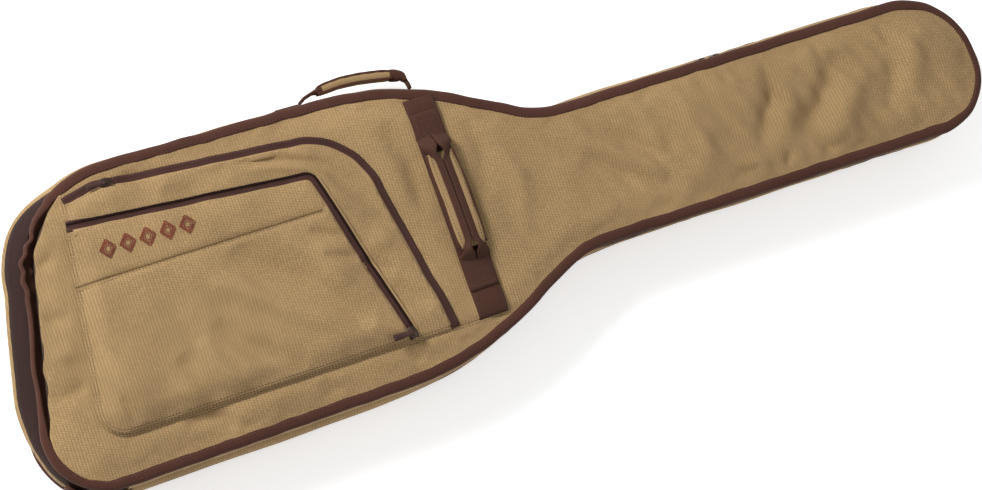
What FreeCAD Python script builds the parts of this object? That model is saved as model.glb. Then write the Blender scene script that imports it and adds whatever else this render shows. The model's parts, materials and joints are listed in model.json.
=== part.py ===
"""Padded gig bag for an electric bass, lying on its back with the lid closed.

Millimetres. The origin is on the surface that the bag lies on, under the middle of its
length and width. +X runs along the bag to the neck end, +Y to the side with the carry
handle, +Z up out of the front. The plan outline is one polygon with a radius at each
corner; every wall, binding and panel is that outline grown or shrunk by some distance.
"""
import FreeCAD, Part
import math
import os

os.makedirs("parts", exist_ok=True)
V = FreeCAD.Vector

# ---- driving dimensions -------------------------------------------------------------
BODY_HALF = 184.0            # half width of the body at its bottom end
SHOULDER_HALF = 176.0        # half width where the shoulders start
NECK_HALF = 88.0             # half width of the neck
SHOULDER_X = -111.0          # where the shoulders start
NECK_X = 56.0                # where the neck starts
NECK_END_X = 628.0           # middle of the neck end
NECK_END_SKEW = 6.0          # each neck corner lies this far from the middle of the end
END_LOW_X = -646.0           # bottom end, corner on the hinge side
END_HIGH_X = -568.0          # bottom end, corner on the handle side
R_END_LOW = 75.0
R_END_HIGH = 125.0
R_SHOULDER = 380.0
R_WAIST = 120.0
R_NECK_LOW = 75.0
R_NECK_HIGH = 93.0

CLEAR = 0.2                  # between soft pieces of one body
PART_GAP = 0.6               # between the base and the lid at the main zip
CUT = 1.0                    # a cutting body goes this far past what it cuts
FAR = 2000.0                 # larger than the bag, for cutting
SMALLEST_SOLID = 1.0         # cubic millimetres; a cut leaves no splinter below this
TOUCHING = 1e-6              # points nearer than this are one point

# distances from the outline, outward
BACK_EDGE = 6.0              # edge of the back panel
BACK_BINDING_EDGE = 8.5
GUSSET_FACE = 4.0
GUSSET_SKIN = 1.5            # thickness, as the next two
GUSSET_FOAM = 6.0
LINING = 1.0
TAPE_FACE = 1.5              # outer face of the main zip's tapes and of the front binding
TEETH_PROUD = 0.8            # coil stands out of the tape on both sides
FRONT_BINDING_WIDTH = 11.0   # inward from the outline

# heights
BACK_BINDING_Z = (1.0, 12.0)
Z_BACK_SKIN = 8.0
Z_BACK_FOAM = 15.0
Z_FLOOR = 16.2               # top of the back lining: the floor of the inside
Z_GUSSET_TOP = 46.0
Z_PART = 62.0                # line of the main zip's teeth, and of the lid's hinge
Z_LID_LOW = 78.4             # underside of the front panel and its binding
Z_FRONT_LINING = 79.6
Z_FRONT_FOAM = 88.3
Z_FRONT = 90.5               # face of the front panel
Z_FRONT_BINDING = 91.2
TEETH_HEIGHT = 1.6

# hinge side, and the patch over the main zip's end at the low end corner
HINGE_FROM_X = -554.0        # the lid's fabric hinge runs between these, on the low side
HINGE_TO_X = -156.0
HINGE_DEPTH = 30.0
END_PATCH_X = (-610.0, -546.0)
END_PATCH_TO_Y = -120.0
END_PATCH_Z = (22.0, 60.0)
END_PATCH_THICK = 1.3

# front pockets: corners (x, y, radius), heights, zip bands and hems
LOW_SEAM_Y = -130.0
LARGE_POCKET = [
    (-566.0, LOW_SEAM_Y, 33.0),
    (-124.0, LOW_SEAM_Y, 4.0),
    (-173.0, 136.0, 95.0),
    (-486.0, 163.0, 50.0),
    (-526.0, 152.0, 4.0),
]
SMALL_POCKET = [
    (-564.0, LOW_SEAM_Y + 3.0, 30.0),
    (-176.0, LOW_SEAM_Y + 3.0, 4.0),
    (-237.0, 97.5, 14.0),
    (-530.5, 123.5, 5.0),
]
Z_LARGE_PLATE = 96.0
Z_LARGE_TOP = 98.6
Z_SMALL_PLATE = 104.0
Z_SMALL_TOP = 106.0
LARGE_BAND = 9.5
SMALL_BAND = 8.5
HEM = 6.0
LARGE_LEFT_HEM = 8.0         # how far in the sewn left edge reaches from the top corner
SMALL_LEFT_HEM = 6.0
FOLD_Y = 50.0                # fold line between the small pocket's panel and its top band
FOLD_GAP = 0.6
LOZENGE_COUNT = 5
LOZENGE_PITCH = 24.0
LOZENGE_START = (-492.0, 82.0)
LOZENGE_HALF = (10.0, 12.0)
THREAD_GAP = 0.05
THREAD_THICK = 0.6

# webbing and handles
WEBBING = 38.0               # width of the waist webbing
WEBBING_THICK = 2.0
WAIST_X = -83.0
SEWN_ENDS = (41.0, 39.0)     # lengths of the front handle's sewn ends, low and high
SEWN_END_GAP = 1.0           # from each to the end of the swinging webbing
GRIP_WIDTH = 40.0
GRIP_Y = (-46.0, 78.0)
GRIP_Z = (103.0, 113.0)
GRIP_ROUNDING = 3.5
FOLDED_WIDTH = 16.0          # handle webbing, folded over the grip
SWING_Z = 94.0               # front handle's swing axis
SWING_Y = (-52.0, 91.0)
FOLDED_RISE = 3.3            # of the folded webbing's ends over the swing axis
SIDE_Z = 27.0                # side handle's swing axis
SIDE_ENDS = ((-209.0, 187.4), (-72.0, 165.6))
SIDE_GRIP_LENGTH = 92.0
SIDE_GRIP_RADII = (15.0, 28.0)
SIDE_GRIP_HALF = 8.0
SIDE_GRIP_ROUNDING = 4.0
SIDE_LOOP_START = V(1.5, 0.5, 0)
SIDE_LOOP_BEND = (0.55, 0.75)    # shares of the way to the grip and of the grip's reach
SIDE_LOOP_IN_GRIP = 0.5
SIDE_LOOP_NARROWER = 2.0     # than the grip
SIDE_PAD_Z = (15.0, 39.0)
SIDE_PAD_LEFT = (-34.0, -1.5)    # from the chord's left end
SIDE_PAD_RIGHT = (2.5, 34.0)     # from the chord's right end

# main zip sliders, on the straight of the neck
MAIN_SLIDER_X = (286.0, 306.0)
SLIDER_BODY = (13.0, 4.5, 10.0)
SLIDER_GAP = 0.4             # between a slider and the coil
SLIDER_ROUNDING = 1.2
PULL_LENGTH = 28.0
PULL_WIDTH = 7.0
PULL_THICK = 1.8
PULL_GAP = 0.3               # between a pull and the slider that it hangs on
PULL_BAR = 1.4               # bar of the main pulls, round which they swing
PULL_HOLE_HALF = 2.3
PULL_HOLE_TO = 9.0           # below the axis
BRIDGE_HALF = 4.5            # loop on the slider that holds the pull
BRIDGE_OUT = 3.4
BRIDGE_BAR = 1.0
BRIDGE_WIDE = 2.0            # half of its width
BRIDGE_SUNK = 0.5            # into the slider's body
FLAT_SLIDER = (12.0, 9.0, 2.6)
FLAT_SLIDER_ROUNDING = 0.9
FLAT_PULLS = (15.0, 17.0)    # lengths: large pocket, small pocket
LARGE_SLIDER_IN = 16.0       # from the corner at the closed end of its straight
SMALL_SLIDER_IN = 10.0
FLAT_PULL_GAP = 0.8
FLAT_PULL_TAIL = 0.9         # behind the axis, where the pull turns on its slider

# inside
BUMPER_DEPTH = 30.0
BUMPER_HALF = 110.0
BUMPER_TO_X = -506.0
BUMPER_TOP = 54.0
CRADLE_X = (414.0, 514.0)
CRADLE_HALF = 70.0
CRADLE_TOP = 34.0
GROOVE_HALF = 30.0
GROOVE_FLOOR = 21.0
STRAP_X = (446.0, 482.0)
STRAP_THICK = 1.4
STRAP_MIDDLE = 4.0
STRAP_LAP = 8.0              # of the base under the flap's hinge
STRAP_SEWN = 50.0            # the base runs to here
FLAP_LENGTH = 38.0

# shoulder straps, folded flat into the back
STRAP_START = (-48.0, 38.0)
STRAP_SPLAY = 7.0            # degrees away from the bag's middle line
PAD = (300.0, 62.0)
PAD_Z = (0.6, 6.6)
PAD_ROUNDING = 18.0
LOW_WEB_WIDTH = 25.0
LOW_WEB = (300.0, 452.0)
LOW_WEB_Z = (2.8, 4.8)
LOCK = (24.0, 36.0)
LOCK_START = 318.0
LOCK_TRAVEL = 100.0
LOCK_WALL_CLEAR = 0.5
LOCK_ROUNDING = 3.0
ANCHOR = (440.0, 480.0)
ANCHOR_WIDTH = 44.0
RECESS_Z = 7.2
RECESS_CLEAR = 1.0
PATCH_X = (-44.0, -16.0)
PATCH_HALF = 72.0


# ---- helpers --------------------------------------------------------------------------
def bag_outline():
    """Corners (x, y, radius) of the front edge, anticlockwise from the low end corner."""
    neck_low = NECK_END_X + NECK_END_SKEW
    neck_high = NECK_END_X - NECK_END_SKEW
    return [
        (END_LOW_X, -BODY_HALF, R_END_LOW),
        (SHOULDER_X, -SHOULDER_HALF, R_SHOULDER),
        (NECK_X, -NECK_HALF, R_WAIST),
        (neck_low, -NECK_HALF, R_NECK_LOW),
        (neck_high, NECK_HALF, R_NECK_HIGH),
        (NECK_X, NECK_HALF, R_WAIST),
        (SHOULDER_X, SHOULDER_HALF, R_SHOULDER),
        (END_HIGH_X, BODY_HALF, R_END_HIGH),
    ]


def grow(corners, distance):
    """The same outline with every edge moved outward by distance, and its arcs with it."""
    points = [V(x, y, 0) for x, y, radius in corners]
    result = []
    for i, (x, y, radius) in enumerate(corners):
        before = (points[i] - points[i - 1]).normalize()
        after = (points[(i + 1) % len(points)] - points[i]).normalize()
        turn = before.cross(after).z
        n1 = V(before.y, -before.x, 0)
        n2 = V(after.y, -after.x, 0)
        shift = (n1 + n2) * (distance / (1 + n1.dot(n2)))
        new_radius = radius + distance if turn > 0 else radius - distance
        result.append((x + shift.x, y + shift.y, max(new_radius, 0.0)))
    return result


def outline_wire(corners, z=0.0):
    """Closed wire of straight runs joined by tangent arcs."""
    points = [V(x, y, z) for x, y, radius in corners]
    count = len(points)
    tangents = []
    for i in range(count):
        back = (points[i - 1] - points[i]).normalize()
        ahead = (points[(i + 1) % count] - points[i]).normalize()
        half = back.getAngle(ahead) / 2
        reach = corners[i][2] / math.tan(half)
        middle = (back + ahead).normalize()
        centre = points[i] + middle * (corners[i][2] / math.sin(half))
        top = centre - middle * corners[i][2]
        tangents.append((points[i] + back * reach, top, points[i] + ahead * reach))
    edges = []
    for i in range(count):
        start, top, end = tangents[i]
        if corners[i][2] > 0:
            edges.append(Part.Arc(start, top, end).toShape())
        following = tangents[(i + 1) % count][0]
        if end.distanceToPoint(following) > TOUCHING:
            edges.append(Part.LineSegment(end, following).toShape())
    return Part.Wire(edges)


def plate(corners, z_low, z_high):
    """Flat solid with this outline."""
    face = Part.Face(outline_wire(corners, z_low))
    return face.extrude(V(0, 0, z_high - z_low))


def wall(corners, outer, inner, z_low, z_high):
    """Closed upright band between two offsets of an outline."""
    hole = plate(grow(corners, inner), z_low - CUT, z_high + CUT)
    return plate(grow(corners, outer), z_low, z_high).cut(hole)


def box(x, y, z):
    """Block between pairs of limits."""
    return Part.makeBox(x[1] - x[0], y[1] - y[0], z[1] - z[0], V(x[0], y[0], z[0]))


def rounded_box(x, y, z, radius):
    """Block with every edge rounded."""
    block = box(x, y, z)
    return block.makeFillet(radius, block.Edges)


def round_corners(shape, radius):
    """Round the edges of a block that run straight up."""
    edges = shape.Edges
    upright = [e for e in edges if e.BoundBox.ZLength > max(e.BoundBox.XLength, e.BoundBox.YLength)]
    return shape.makeFillet(radius, upright)


def export(name, shape):
    """Write one node, with its solids only."""
    solids = [s for s in shape.Solids if s.Volume > SMALLEST_SOLID]
    result = solids[0] if len(solids) == 1 else Part.makeCompound(solids)
    result.exportStep("parts/" + name + ".step")


OUTLINE = bag_outline()


def hinge_side():
    """Block that holds the stretch of wall where the lid's fabric hinge is."""
    y_low = -BODY_HALF - HINGE_DEPTH
    return box((HINGE_FROM_X, HINGE_TO_X), (y_low, -SHOULDER_HALF + HINGE_DEPTH), (-FAR, FAR))


# ---- base: back panel and gusset -----------------------------------------------------
def strap_placement(side):
    """From a strap's own frame, along its +X, to the bag's; side is +1 or -1."""
    place = FreeCAD.Placement()
    place.Base = V(STRAP_START[0], side * STRAP_START[1], 0)
    place.Rotation = FreeCAD.Rotation(V(0, 0, 1), 180.0 - side * STRAP_SPLAY)
    return place


def strap_recess(side):
    """Hollow in the back that one folded shoulder strap and its fittings lie in."""
    grow_by = RECESS_CLEAR
    z = (-CUT, RECESS_Z)
    pad_half = PAD[1] / 2 + grow_by
    pad = box((-grow_by, PAD[0] + grow_by), (-pad_half, pad_half), z)
    lock_half = LOCK[1] / 2 + grow_by
    lock_end = LOCK_START + LOCK_TRAVEL + LOCK[0] / 2 + grow_by
    lock = box((PAD[0] - CUT, lock_end), (-lock_half, lock_half), z)
    anchor_half = ANCHOR_WIDTH / 2 + grow_by
    anchor = box((lock_end - CUT, ANCHOR[1] + grow_by), (-anchor_half, anchor_half), z)
    hollow = pad.fuse([lock, anchor])
    hollow.Placement = strap_placement(side)
    return hollow


def back_panel():
    """Skin, foam and lining of the back, and the binding round its edge."""
    edge = grow(OUTLINE, BACK_EDGE)
    patch_x = (PATCH_X[0] - RECESS_CLEAR, PATCH_X[1] + RECESS_CLEAR)
    patch_half = PATCH_HALF + RECESS_CLEAR
    patch = box(patch_x, (-patch_half, patch_half), (-CUT, RECESS_Z))
    skin = plate(edge, 0.0, Z_BACK_SKIN).cut([strap_recess(1), strap_recess(-1), patch])
    export("back_panel_outer", skin)
    inside = grow(OUTLINE, GUSSET_FACE - GUSSET_SKIN - GUSSET_FOAM - LINING - 3 * CLEAR)
    export("back_panel_foam", plate(inside, Z_BACK_SKIN + CLEAR, Z_BACK_FOAM))
    export("back_panel_lining", plate(inside, Z_BACK_FOAM + CLEAR, Z_FLOOR))
    binding = wall(OUTLINE, BACK_BINDING_EDGE, BACK_EDGE + CLEAR, *BACK_BINDING_Z)
    export("back_binding", binding)


def gusset():
    """Padded side wall below the main zip."""
    low = Z_BACK_SKIN + CLEAR
    face = GUSSET_FACE
    export("gusset_outer", wall(OUTLINE, face, face - GUSSET_SKIN, low, Z_GUSSET_TOP + 1.0))
    face -= GUSSET_SKIN + CLEAR
    export("gusset_foam", wall(OUTLINE, face, face - GUSSET_FOAM, low, Z_GUSSET_TOP))
    face -= GUSSET_FOAM + CLEAR
    export("gusset_lining", wall(OUTLINE, face, face - LINING, low, Z_GUSSET_TOP))


def main_zip():
    """Tapes and coil halves of the main zip, and the plain fabric along the hinge."""
    half_gap = PART_GAP / 2
    low = Z_GUSSET_TOP + CLEAR
    rear = wall(OUTLINE, TAPE_FACE, 0.0, low, Z_PART - half_gap)
    front = wall(OUTLINE, TAPE_FACE, 0.0, Z_PART + half_gap, Z_LID_LOW - CLEAR)
    export("gusset_hinge_strip", rear.common(hinge_side()))
    export("lid_hinge_strip", front.common(hinge_side()))
    teeth_low = Z_PART - half_gap - TEETH_HEIGHT
    teeth_high = Z_PART + half_gap + TEETH_HEIGHT
    rear = wall(OUTLINE, TAPE_FACE, 0.0, low, teeth_low - CLEAR)
    front = wall(OUTLINE, TAPE_FACE, 0.0, teeth_high + CLEAR, Z_LID_LOW - CLEAR)
    zipped = hinge_side()
    export("main_zip_rear_tape", rear.cut(zipped))
    export("main_zip_front_tape", front.cut(zipped))
    proud = TAPE_FACE + TEETH_PROUD
    rear = wall(OUTLINE, proud, -TEETH_PROUD, teeth_low, Z_PART - half_gap)
    front = wall(OUTLINE, proud, -TEETH_PROUD, Z_PART + half_gap, teeth_high)
    export("main_zip_rear_teeth", rear.cut(zipped))
    export("main_zip_front_teeth", front.cut(zipped))


def zip_end_patch():
    """Folded patch that closes the end of the main zip at the low end corner."""
    inner = GUSSET_FACE + CLEAR
    patch = wall(OUTLINE, inner + END_PATCH_THICK, inner, *END_PATCH_Z)
    keep = box(END_PATCH_X, (-FAR, END_PATCH_TO_Y), (0.0, FAR))
    export("zip_end_patch", patch.common(keep))


def inside_fittings():
    """Foam bumper at the bottom end, neck cradle, and the strap over the cradle."""
    face = GUSSET_FACE - GUSSET_SKIN - GUSSET_FOAM - LINING - 4 * CLEAR
    bumper = wall(OUTLINE, face, face - BUMPER_DEPTH, Z_FLOOR + CLEAR, BUMPER_TOP)
    keep = box((-FAR, BUMPER_TO_X), (-BUMPER_HALF, BUMPER_HALF), (0.0, FAR))
    export("end_bumper", bumper.common(keep))

    block = box(CRADLE_X, (-CRADLE_HALF, CRADLE_HALF), (Z_FLOOR + CLEAR, CRADLE_TOP))
    groove_x = (CRADLE_X[0] - CUT, CRADLE_X[1] + CUT)
    groove = box(groove_x, (-GROOVE_HALF, GROOVE_HALF), (GROOVE_FLOOR, FAR))
    export("neck_cradle", block.cut(groove))

    low = CRADLE_TOP + CLEAR
    base = box(STRAP_X, (STRAP_MIDDLE - STRAP_LAP, STRAP_SEWN), (low, low + STRAP_THICK))
    export("neck_strap_base", base)
    low += STRAP_THICK + CLEAR
    flap_y = (STRAP_MIDDLE - FLAP_LENGTH, STRAP_MIDDLE)
    export("neck_strap_flap", box(STRAP_X, flap_y, (low, low + STRAP_THICK)))


# ---- shoulder straps -------------------------------------------------------------------
def shoulder_strap(side, name):
    """Pad, adjusting webbing, ladder lock and lower anchor of one strap."""
    place = strap_placement(side)

    def put(node, shape):
        shape.Placement = place.multiply(shape.Placement)
        export(node + "_" + name, shape)

    pad_y = (-PAD[1] / 2, PAD[1] / 2)
    pad = box((0.0, PAD[0]), pad_y, PAD_Z)
    put("shoulder_pad", round_corners(pad, PAD_ROUNDING))
    half = LOW_WEB_WIDTH / 2
    put("shoulder_webbing", box((LOW_WEB[0] + CLEAR, LOW_WEB[1]), (-half, half), LOW_WEB_Z))
    slot_half = half + LOCK_WALL_CLEAR
    lock_x = (LOCK_START - LOCK[0] / 2, LOCK_START + LOCK[0] / 2)
    frame = box(lock_x, (-LOCK[1] / 2, LOCK[1] / 2), PAD_Z)
    slot_z = (LOW_WEB_Z[0] - LOCK_WALL_CLEAR, LOW_WEB_Z[1] + LOCK_WALL_CLEAR)
    slot = box((lock_x[0] - CUT, lock_x[1] + CUT), (-slot_half, slot_half), slot_z)
    put("ladder_lock", round_corners(frame, LOCK_ROUNDING).cut(slot))
    half = ANCHOR_WIDTH / 2
    put("strap_anchor", box(ANCHOR, (-half, half), (PAD_Z[0], LOW_WEB_Z[0] - CLEAR)))


def straps():
    """Both straps, and the patch that their upper ends are sewn under."""
    shoulder_strap(1, "left")
    shoulder_strap(-1, "right")
    export("strap_top_patch", box(PATCH_X, (-PATCH_HALF, PATCH_HALF), PAD_Z))


# ---- lid -------------------------------------------------------------------------------
def front_panel():
    """Skin, foam and lining of the front, and the binding round its edge."""
    binding = wall(OUTLINE, TAPE_FACE, -FRONT_BINDING_WIDTH, Z_LID_LOW, Z_FRONT_BINDING)
    export("front_binding", binding)
    inside = grow(OUTLINE, -FRONT_BINDING_WIDTH - CLEAR)
    export("front_panel_lining", plate(inside, Z_LID_LOW, Z_FRONT_LINING))
    export("front_panel_foam", plate(inside, Z_FRONT_LINING + CLEAR, Z_FRONT_FOAM))
    export("front_panel_outer", plate(inside, Z_FRONT_FOAM + CLEAR, Z_FRONT))


def sewn_edges(corners, low_y, left_x, left_y):
    """Block over the edges of a pocket that are sewn down, not zipped."""
    low = box((-FAR, FAR), (-FAR, low_y), (0.0, FAR))
    left = box((-FAR, left_x), (-FAR, left_y), (0.0, FAR))
    return low.fuse(left)


def pocket(name, corners, band, left_hem, z):
    """Sewn hem, zip band and front plate of a flat pocket; returns the plate."""
    z_low, z_plate, z_top = z
    left_x = corners[-1][0] + left_hem
    low_y = corners[0][1] + HEM
    left_y = corners[-1][1] - band - HEM
    sewn = sewn_edges(corners, low_y, left_x, left_y)
    export(name + "_hem", wall(corners, 0.0, -HEM, z_low, z_plate - CLEAR).common(sewn))
    export(name + "_zip", wall(corners, 0.0, -band, z_low, z_top).cut(sewn))
    front = plate(grow(corners, -CLEAR), z_plate, z_top)
    band_room = wall(corners, CLEAR, -band - CLEAR, z_plate - CUT, z_top + CUT).cut(sewn)
    return front.cut(band_room)


def pockets():
    """Large pocket on the front panel, and the small pocket on the large one."""
    z = (Z_FRONT + CLEAR, Z_LARGE_PLATE, Z_LARGE_TOP)
    front = pocket("large_pocket", LARGE_POCKET, LARGE_BAND, LARGE_LEFT_HEM, z)
    export("large_pocket_panel", front)
    z = (Z_LARGE_TOP + CLEAR, Z_SMALL_PLATE, Z_SMALL_TOP)
    front = pocket("small_pocket", SMALL_POCKET, SMALL_BAND, SMALL_LEFT_HEM, z)
    above = box((-FAR, FAR), (FOLD_Y + FOLD_GAP / 2, FAR), (0.0, FAR))
    below = box((-FAR, FAR), (-FAR, FOLD_Y - FOLD_GAP / 2), (0.0, FAR))
    export("small_pocket_panel", front.common(below))
    export("small_pocket_top_band", front.common(above))


def ornament():
    """Chain of lozenges sewn in thread on the small pocket's top band."""
    lozenges = []
    along, up = LOZENGE_HALF
    for i in range(LOZENGE_COUNT):
        x = LOZENGE_START[0] + i * LOZENGE_PITCH
        y = LOZENGE_START[1]
        points = [V(x - along, y, 0), V(x, y - up, 0), V(x + along, y, 0), V(x, y + up, 0)]
        wire = Part.makePolygon(points + points[:1])
        wire.translate(V(0, 0, Z_SMALL_TOP + THREAD_GAP))
        lozenges.append(Part.Face(wire).extrude(V(0, 0, THREAD_THICK)))
    export("embroidered_ornament", Part.makeCompound(lozenges))


def waist():
    """Webbing across the waist, and the sewn ends of the front handle on it."""
    half = WEBBING / 2
    x = (WAIST_X - half, WAIST_X + half)
    strip = box(x, (LOW_SEAM_Y, FAR), (Z_FRONT + CLEAR, Z_FRONT + CLEAR + WEBBING_THICK))
    inside = plate(grow(OUTLINE, -FRONT_BINDING_WIDTH - CLEAR), 0.0, FAR)
    export("waist_webbing", strip.common(inside))
    low = Z_FRONT + 2 * CLEAR + WEBBING_THICK
    z = (low, low + WEBBING_THICK)
    low_from = SWING_Y[0] - SEWN_END_GAP
    high_from = SWING_Y[1] + SEWN_END_GAP
    low_end = box(x, (low_from - SEWN_ENDS[0], low_from), z)
    high_end = box(x, (high_from, high_from + SEWN_ENDS[1]), z)
    export("front_handle_anchors", Part.makeCompound([low_end, high_end]))


# ---- handles ---------------------------------------------------------------------------
def bent_strip(points, thickness, width, along):
    """Strip of webbing that follows points in a plane, extruded symmetrically by width."""
    edges = []
    for a, b in zip(points, points[1:]):
        edges.append(Part.LineSegment(a, b).toShape())
    path = Part.Wire(edges)
    profile = path.makeOffset2D(-thickness, join=2, fill=True, openResult=True)
    strip = profile.extrude(along * width)
    strip.translate(along * (-width / 2))
    return strip


def front_handle():
    """Padded grip across the waist, with its webbing folded over the top."""
    half = GRIP_WIDTH / 2
    grip = rounded_box((WAIST_X - half, WAIST_X + half), GRIP_Y, GRIP_Z, GRIP_ROUNDING)
    export("front_handle_grip", grip)
    top = GRIP_Z[1] + CLEAR
    low = SWING_Z + FOLDED_RISE
    points = [
        V(WAIST_X, SWING_Y[0], low),
        V(WAIST_X, GRIP_Y[0] - CLEAR, top),
        V(WAIST_X, GRIP_Y[1] + CLEAR, top),
        V(WAIST_X, SWING_Y[1], low),
    ]
    strip = bent_strip(points, WEBBING_THICK, FOLDED_WIDTH, V(1, 0, 0))
    export("front_handle_webbing", strip)


def side_handle():
    """Carry handle on the gusset: grip, webbing and its sewn ends."""
    (x1, y1), (x2, y2) = SIDE_ENDS
    chord = math.hypot(x2 - x1, y2 - y1)
    place = FreeCAD.Placement()
    place.Base = V(x1, y1, SIDE_Z)
    place.Rotation = FreeCAD.Rotation(V(0, 0, 1), math.degrees(math.atan2(y2 - y1, x2 - x1)))
    start = (chord - SIDE_GRIP_LENGTH) / 2
    z = (-SIDE_GRIP_HALF, SIDE_GRIP_HALF)
    grip_x = (start, start + SIDE_GRIP_LENGTH)
    grip = rounded_box(grip_x, SIDE_GRIP_RADII, z, SIDE_GRIP_ROUNDING)
    middle = sum(SIDE_GRIP_RADII) / 2
    points = [
        SIDE_LOOP_START,
        V(start * SIDE_LOOP_BEND[0], middle * SIDE_LOOP_BEND[1], 0),
        V(start + SIDE_LOOP_IN_GRIP, middle, 0),
    ]
    width = 2 * SIDE_GRIP_HALF - SIDE_LOOP_NARROWER
    ends = []
    for mirror in (False, True):
        side = points
        if mirror:
            side = [V(chord - p.x, p.y, 0) for p in points]
        ends.append(bent_strip(side, WEBBING_THICK, width, V(0, 0, 1)))
    webbing = Part.makeCompound([end.cut(grip) for end in ends])
    for node, shape in (("side_handle_grip", grip), ("side_handle_webbing", webbing)):
        shape.Placement = place.multiply(shape.Placement)
        export(node, shape)
    inner = GUSSET_FACE + CLEAR
    pads = wall(OUTLINE, inner + WEBBING_THICK, inner, *SIDE_PAD_Z)
    left = box([x1 + reach for reach in SIDE_PAD_LEFT], (0.0, FAR), (0.0, FAR))
    right = box([x2 + reach for reach in SIDE_PAD_RIGHT], (0.0, FAR), (0.0, FAR))
    export("side_handle_anchors", pads.common(left.fuse(right)))


# ---- zip sliders and pulls ---------------------------------------------------------------
def main_sliders():
    """Two sliders on the neck's straight, outside the coil, with hanging pulls."""
    face = NECK_HALF + TAPE_FACE + TEETH_PROUD + SLIDER_GAP
    length, depth, height = SLIDER_BODY
    for name, x in zip("ab", MAIN_SLIDER_X):
        along = (x - length / 2, x + length / 2)
        body = box(along, (face, face + depth), (Z_PART - height / 2, Z_PART + height / 2))
        body = body.makeFillet(SLIDER_ROUNDING, body.Edges)
        out = face + depth
        bridge_z = (Z_PART - BRIDGE_HALF, Z_PART + BRIDGE_HALF)
        bridge_x = (x - BRIDGE_WIDE, x + BRIDGE_WIDE)
        bridge = box(bridge_x, (out - BRIDGE_SUNK, out + BRIDGE_OUT), bridge_z)
        eye_z = (bridge_z[0] + BRIDGE_BAR, bridge_z[1] - BRIDGE_BAR)
        eye_x = (bridge_x[0] - CUT, bridge_x[1] + CUT)
        eye = box(eye_x, (out, out + BRIDGE_OUT - BRIDGE_BAR), eye_z)
        export("main_slider_" + name, body.fuse(bridge.cut(eye)))
        pull_y = (out + PULL_GAP, out + PULL_GAP + PULL_THICK)
        half = PULL_WIDTH / 2
        ring = box((x - half, x + half), pull_y, (Z_PART - PULL_LENGTH, Z_PART + PULL_BAR / 2))
        hole_x = (x - PULL_HOLE_HALF, x + PULL_HOLE_HALF)
        hole = box(hole_x, (0.0, FAR), (Z_PART - PULL_HOLE_TO, Z_PART - PULL_BAR / 2))
        export("main_pull_" + name, ring.cut(hole))


def pocket_slider(name, where, heading, z_face, pull_heading, pull_length):
    """Flat slider on a pocket's zip band, its length along heading, and its pull."""
    length, width, height = FLAT_SLIDER
    low = z_face + PULL_GAP
    body = box((-length / 2, length / 2), (-width / 2, width / 2), (low, low + height))
    body = body.makeFillet(FLAT_SLIDER_ROUNDING, body.Edges)
    turn = FreeCAD.Placement(V(where[0], where[1], 0), FreeCAD.Rotation(V(0, 0, 1), heading))
    body.Placement = turn.multiply(body.Placement)
    export(name + "_slider", body)
    z = (low + height + FLAT_PULL_GAP, low + height + FLAT_PULL_GAP + PULL_THICK)
    pull = box((-FLAT_PULL_TAIL, pull_length), (-PULL_WIDTH / 2, PULL_WIDTH / 2), z)
    swing = FreeCAD.Rotation(V(0, 0, 1), pull_heading)
    pull.Placement = FreeCAD.Placement(V(where[0], where[1], 0), swing)
    export(name + "_pull", pull)


def edge_point(corners, first, distance, inset):
    """Point inside one edge of an outline, and the edge's heading in degrees."""
    a = V(corners[first][0], corners[first][1], 0)
    second = corners[(first + 1) % len(corners)]
    ahead = (V(second[0], second[1], 0) - a).normalize()
    point = a + ahead * distance - V(ahead.y, -ahead.x, 0) * inset
    return (point.x, point.y), math.degrees(math.atan2(ahead.y, ahead.x))


def pocket_sliders():
    """Sliders and pulls of both pockets, parked at the closed ends of their zips."""
    a, b = LARGE_POCKET[2], LARGE_POCKET[3]
    top = math.hypot(a[0] - b[0], a[1] - b[1])
    where, heading = edge_point(LARGE_POCKET, 2, top - LARGE_SLIDER_IN, LARGE_BAND / 2)
    pocket_slider("large_pocket", where, heading, Z_LARGE_TOP, 180.0, FLAT_PULLS[0])
    where, heading = edge_point(SMALL_POCKET, 1, SMALL_SLIDER_IN, SMALL_BAND / 2)
    pocket_slider("small_pocket", where, heading, Z_SMALL_TOP, 180.0, FLAT_PULLS[1])


back_panel()
gusset()
main_zip()
zip_end_patch()
inside_fittings()
straps()
front_panel()
pockets()
ornament()
waist()
front_handle()
side_handle()
main_sliders()
pocket_sliders()
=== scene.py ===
"""Looks of the padded gig bag: fabric, webbing, zips and stitches round the CAD frame.

Lengths are in millimetres until a mesh is made, in the CAD model's frame: +X to the neck
end, +Y to the carry handle's side, +Z up out of the front.
"""
import json
import math

import bmesh
import bpy
import numpy as np
from mathutils import Matrix, Vector


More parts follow.
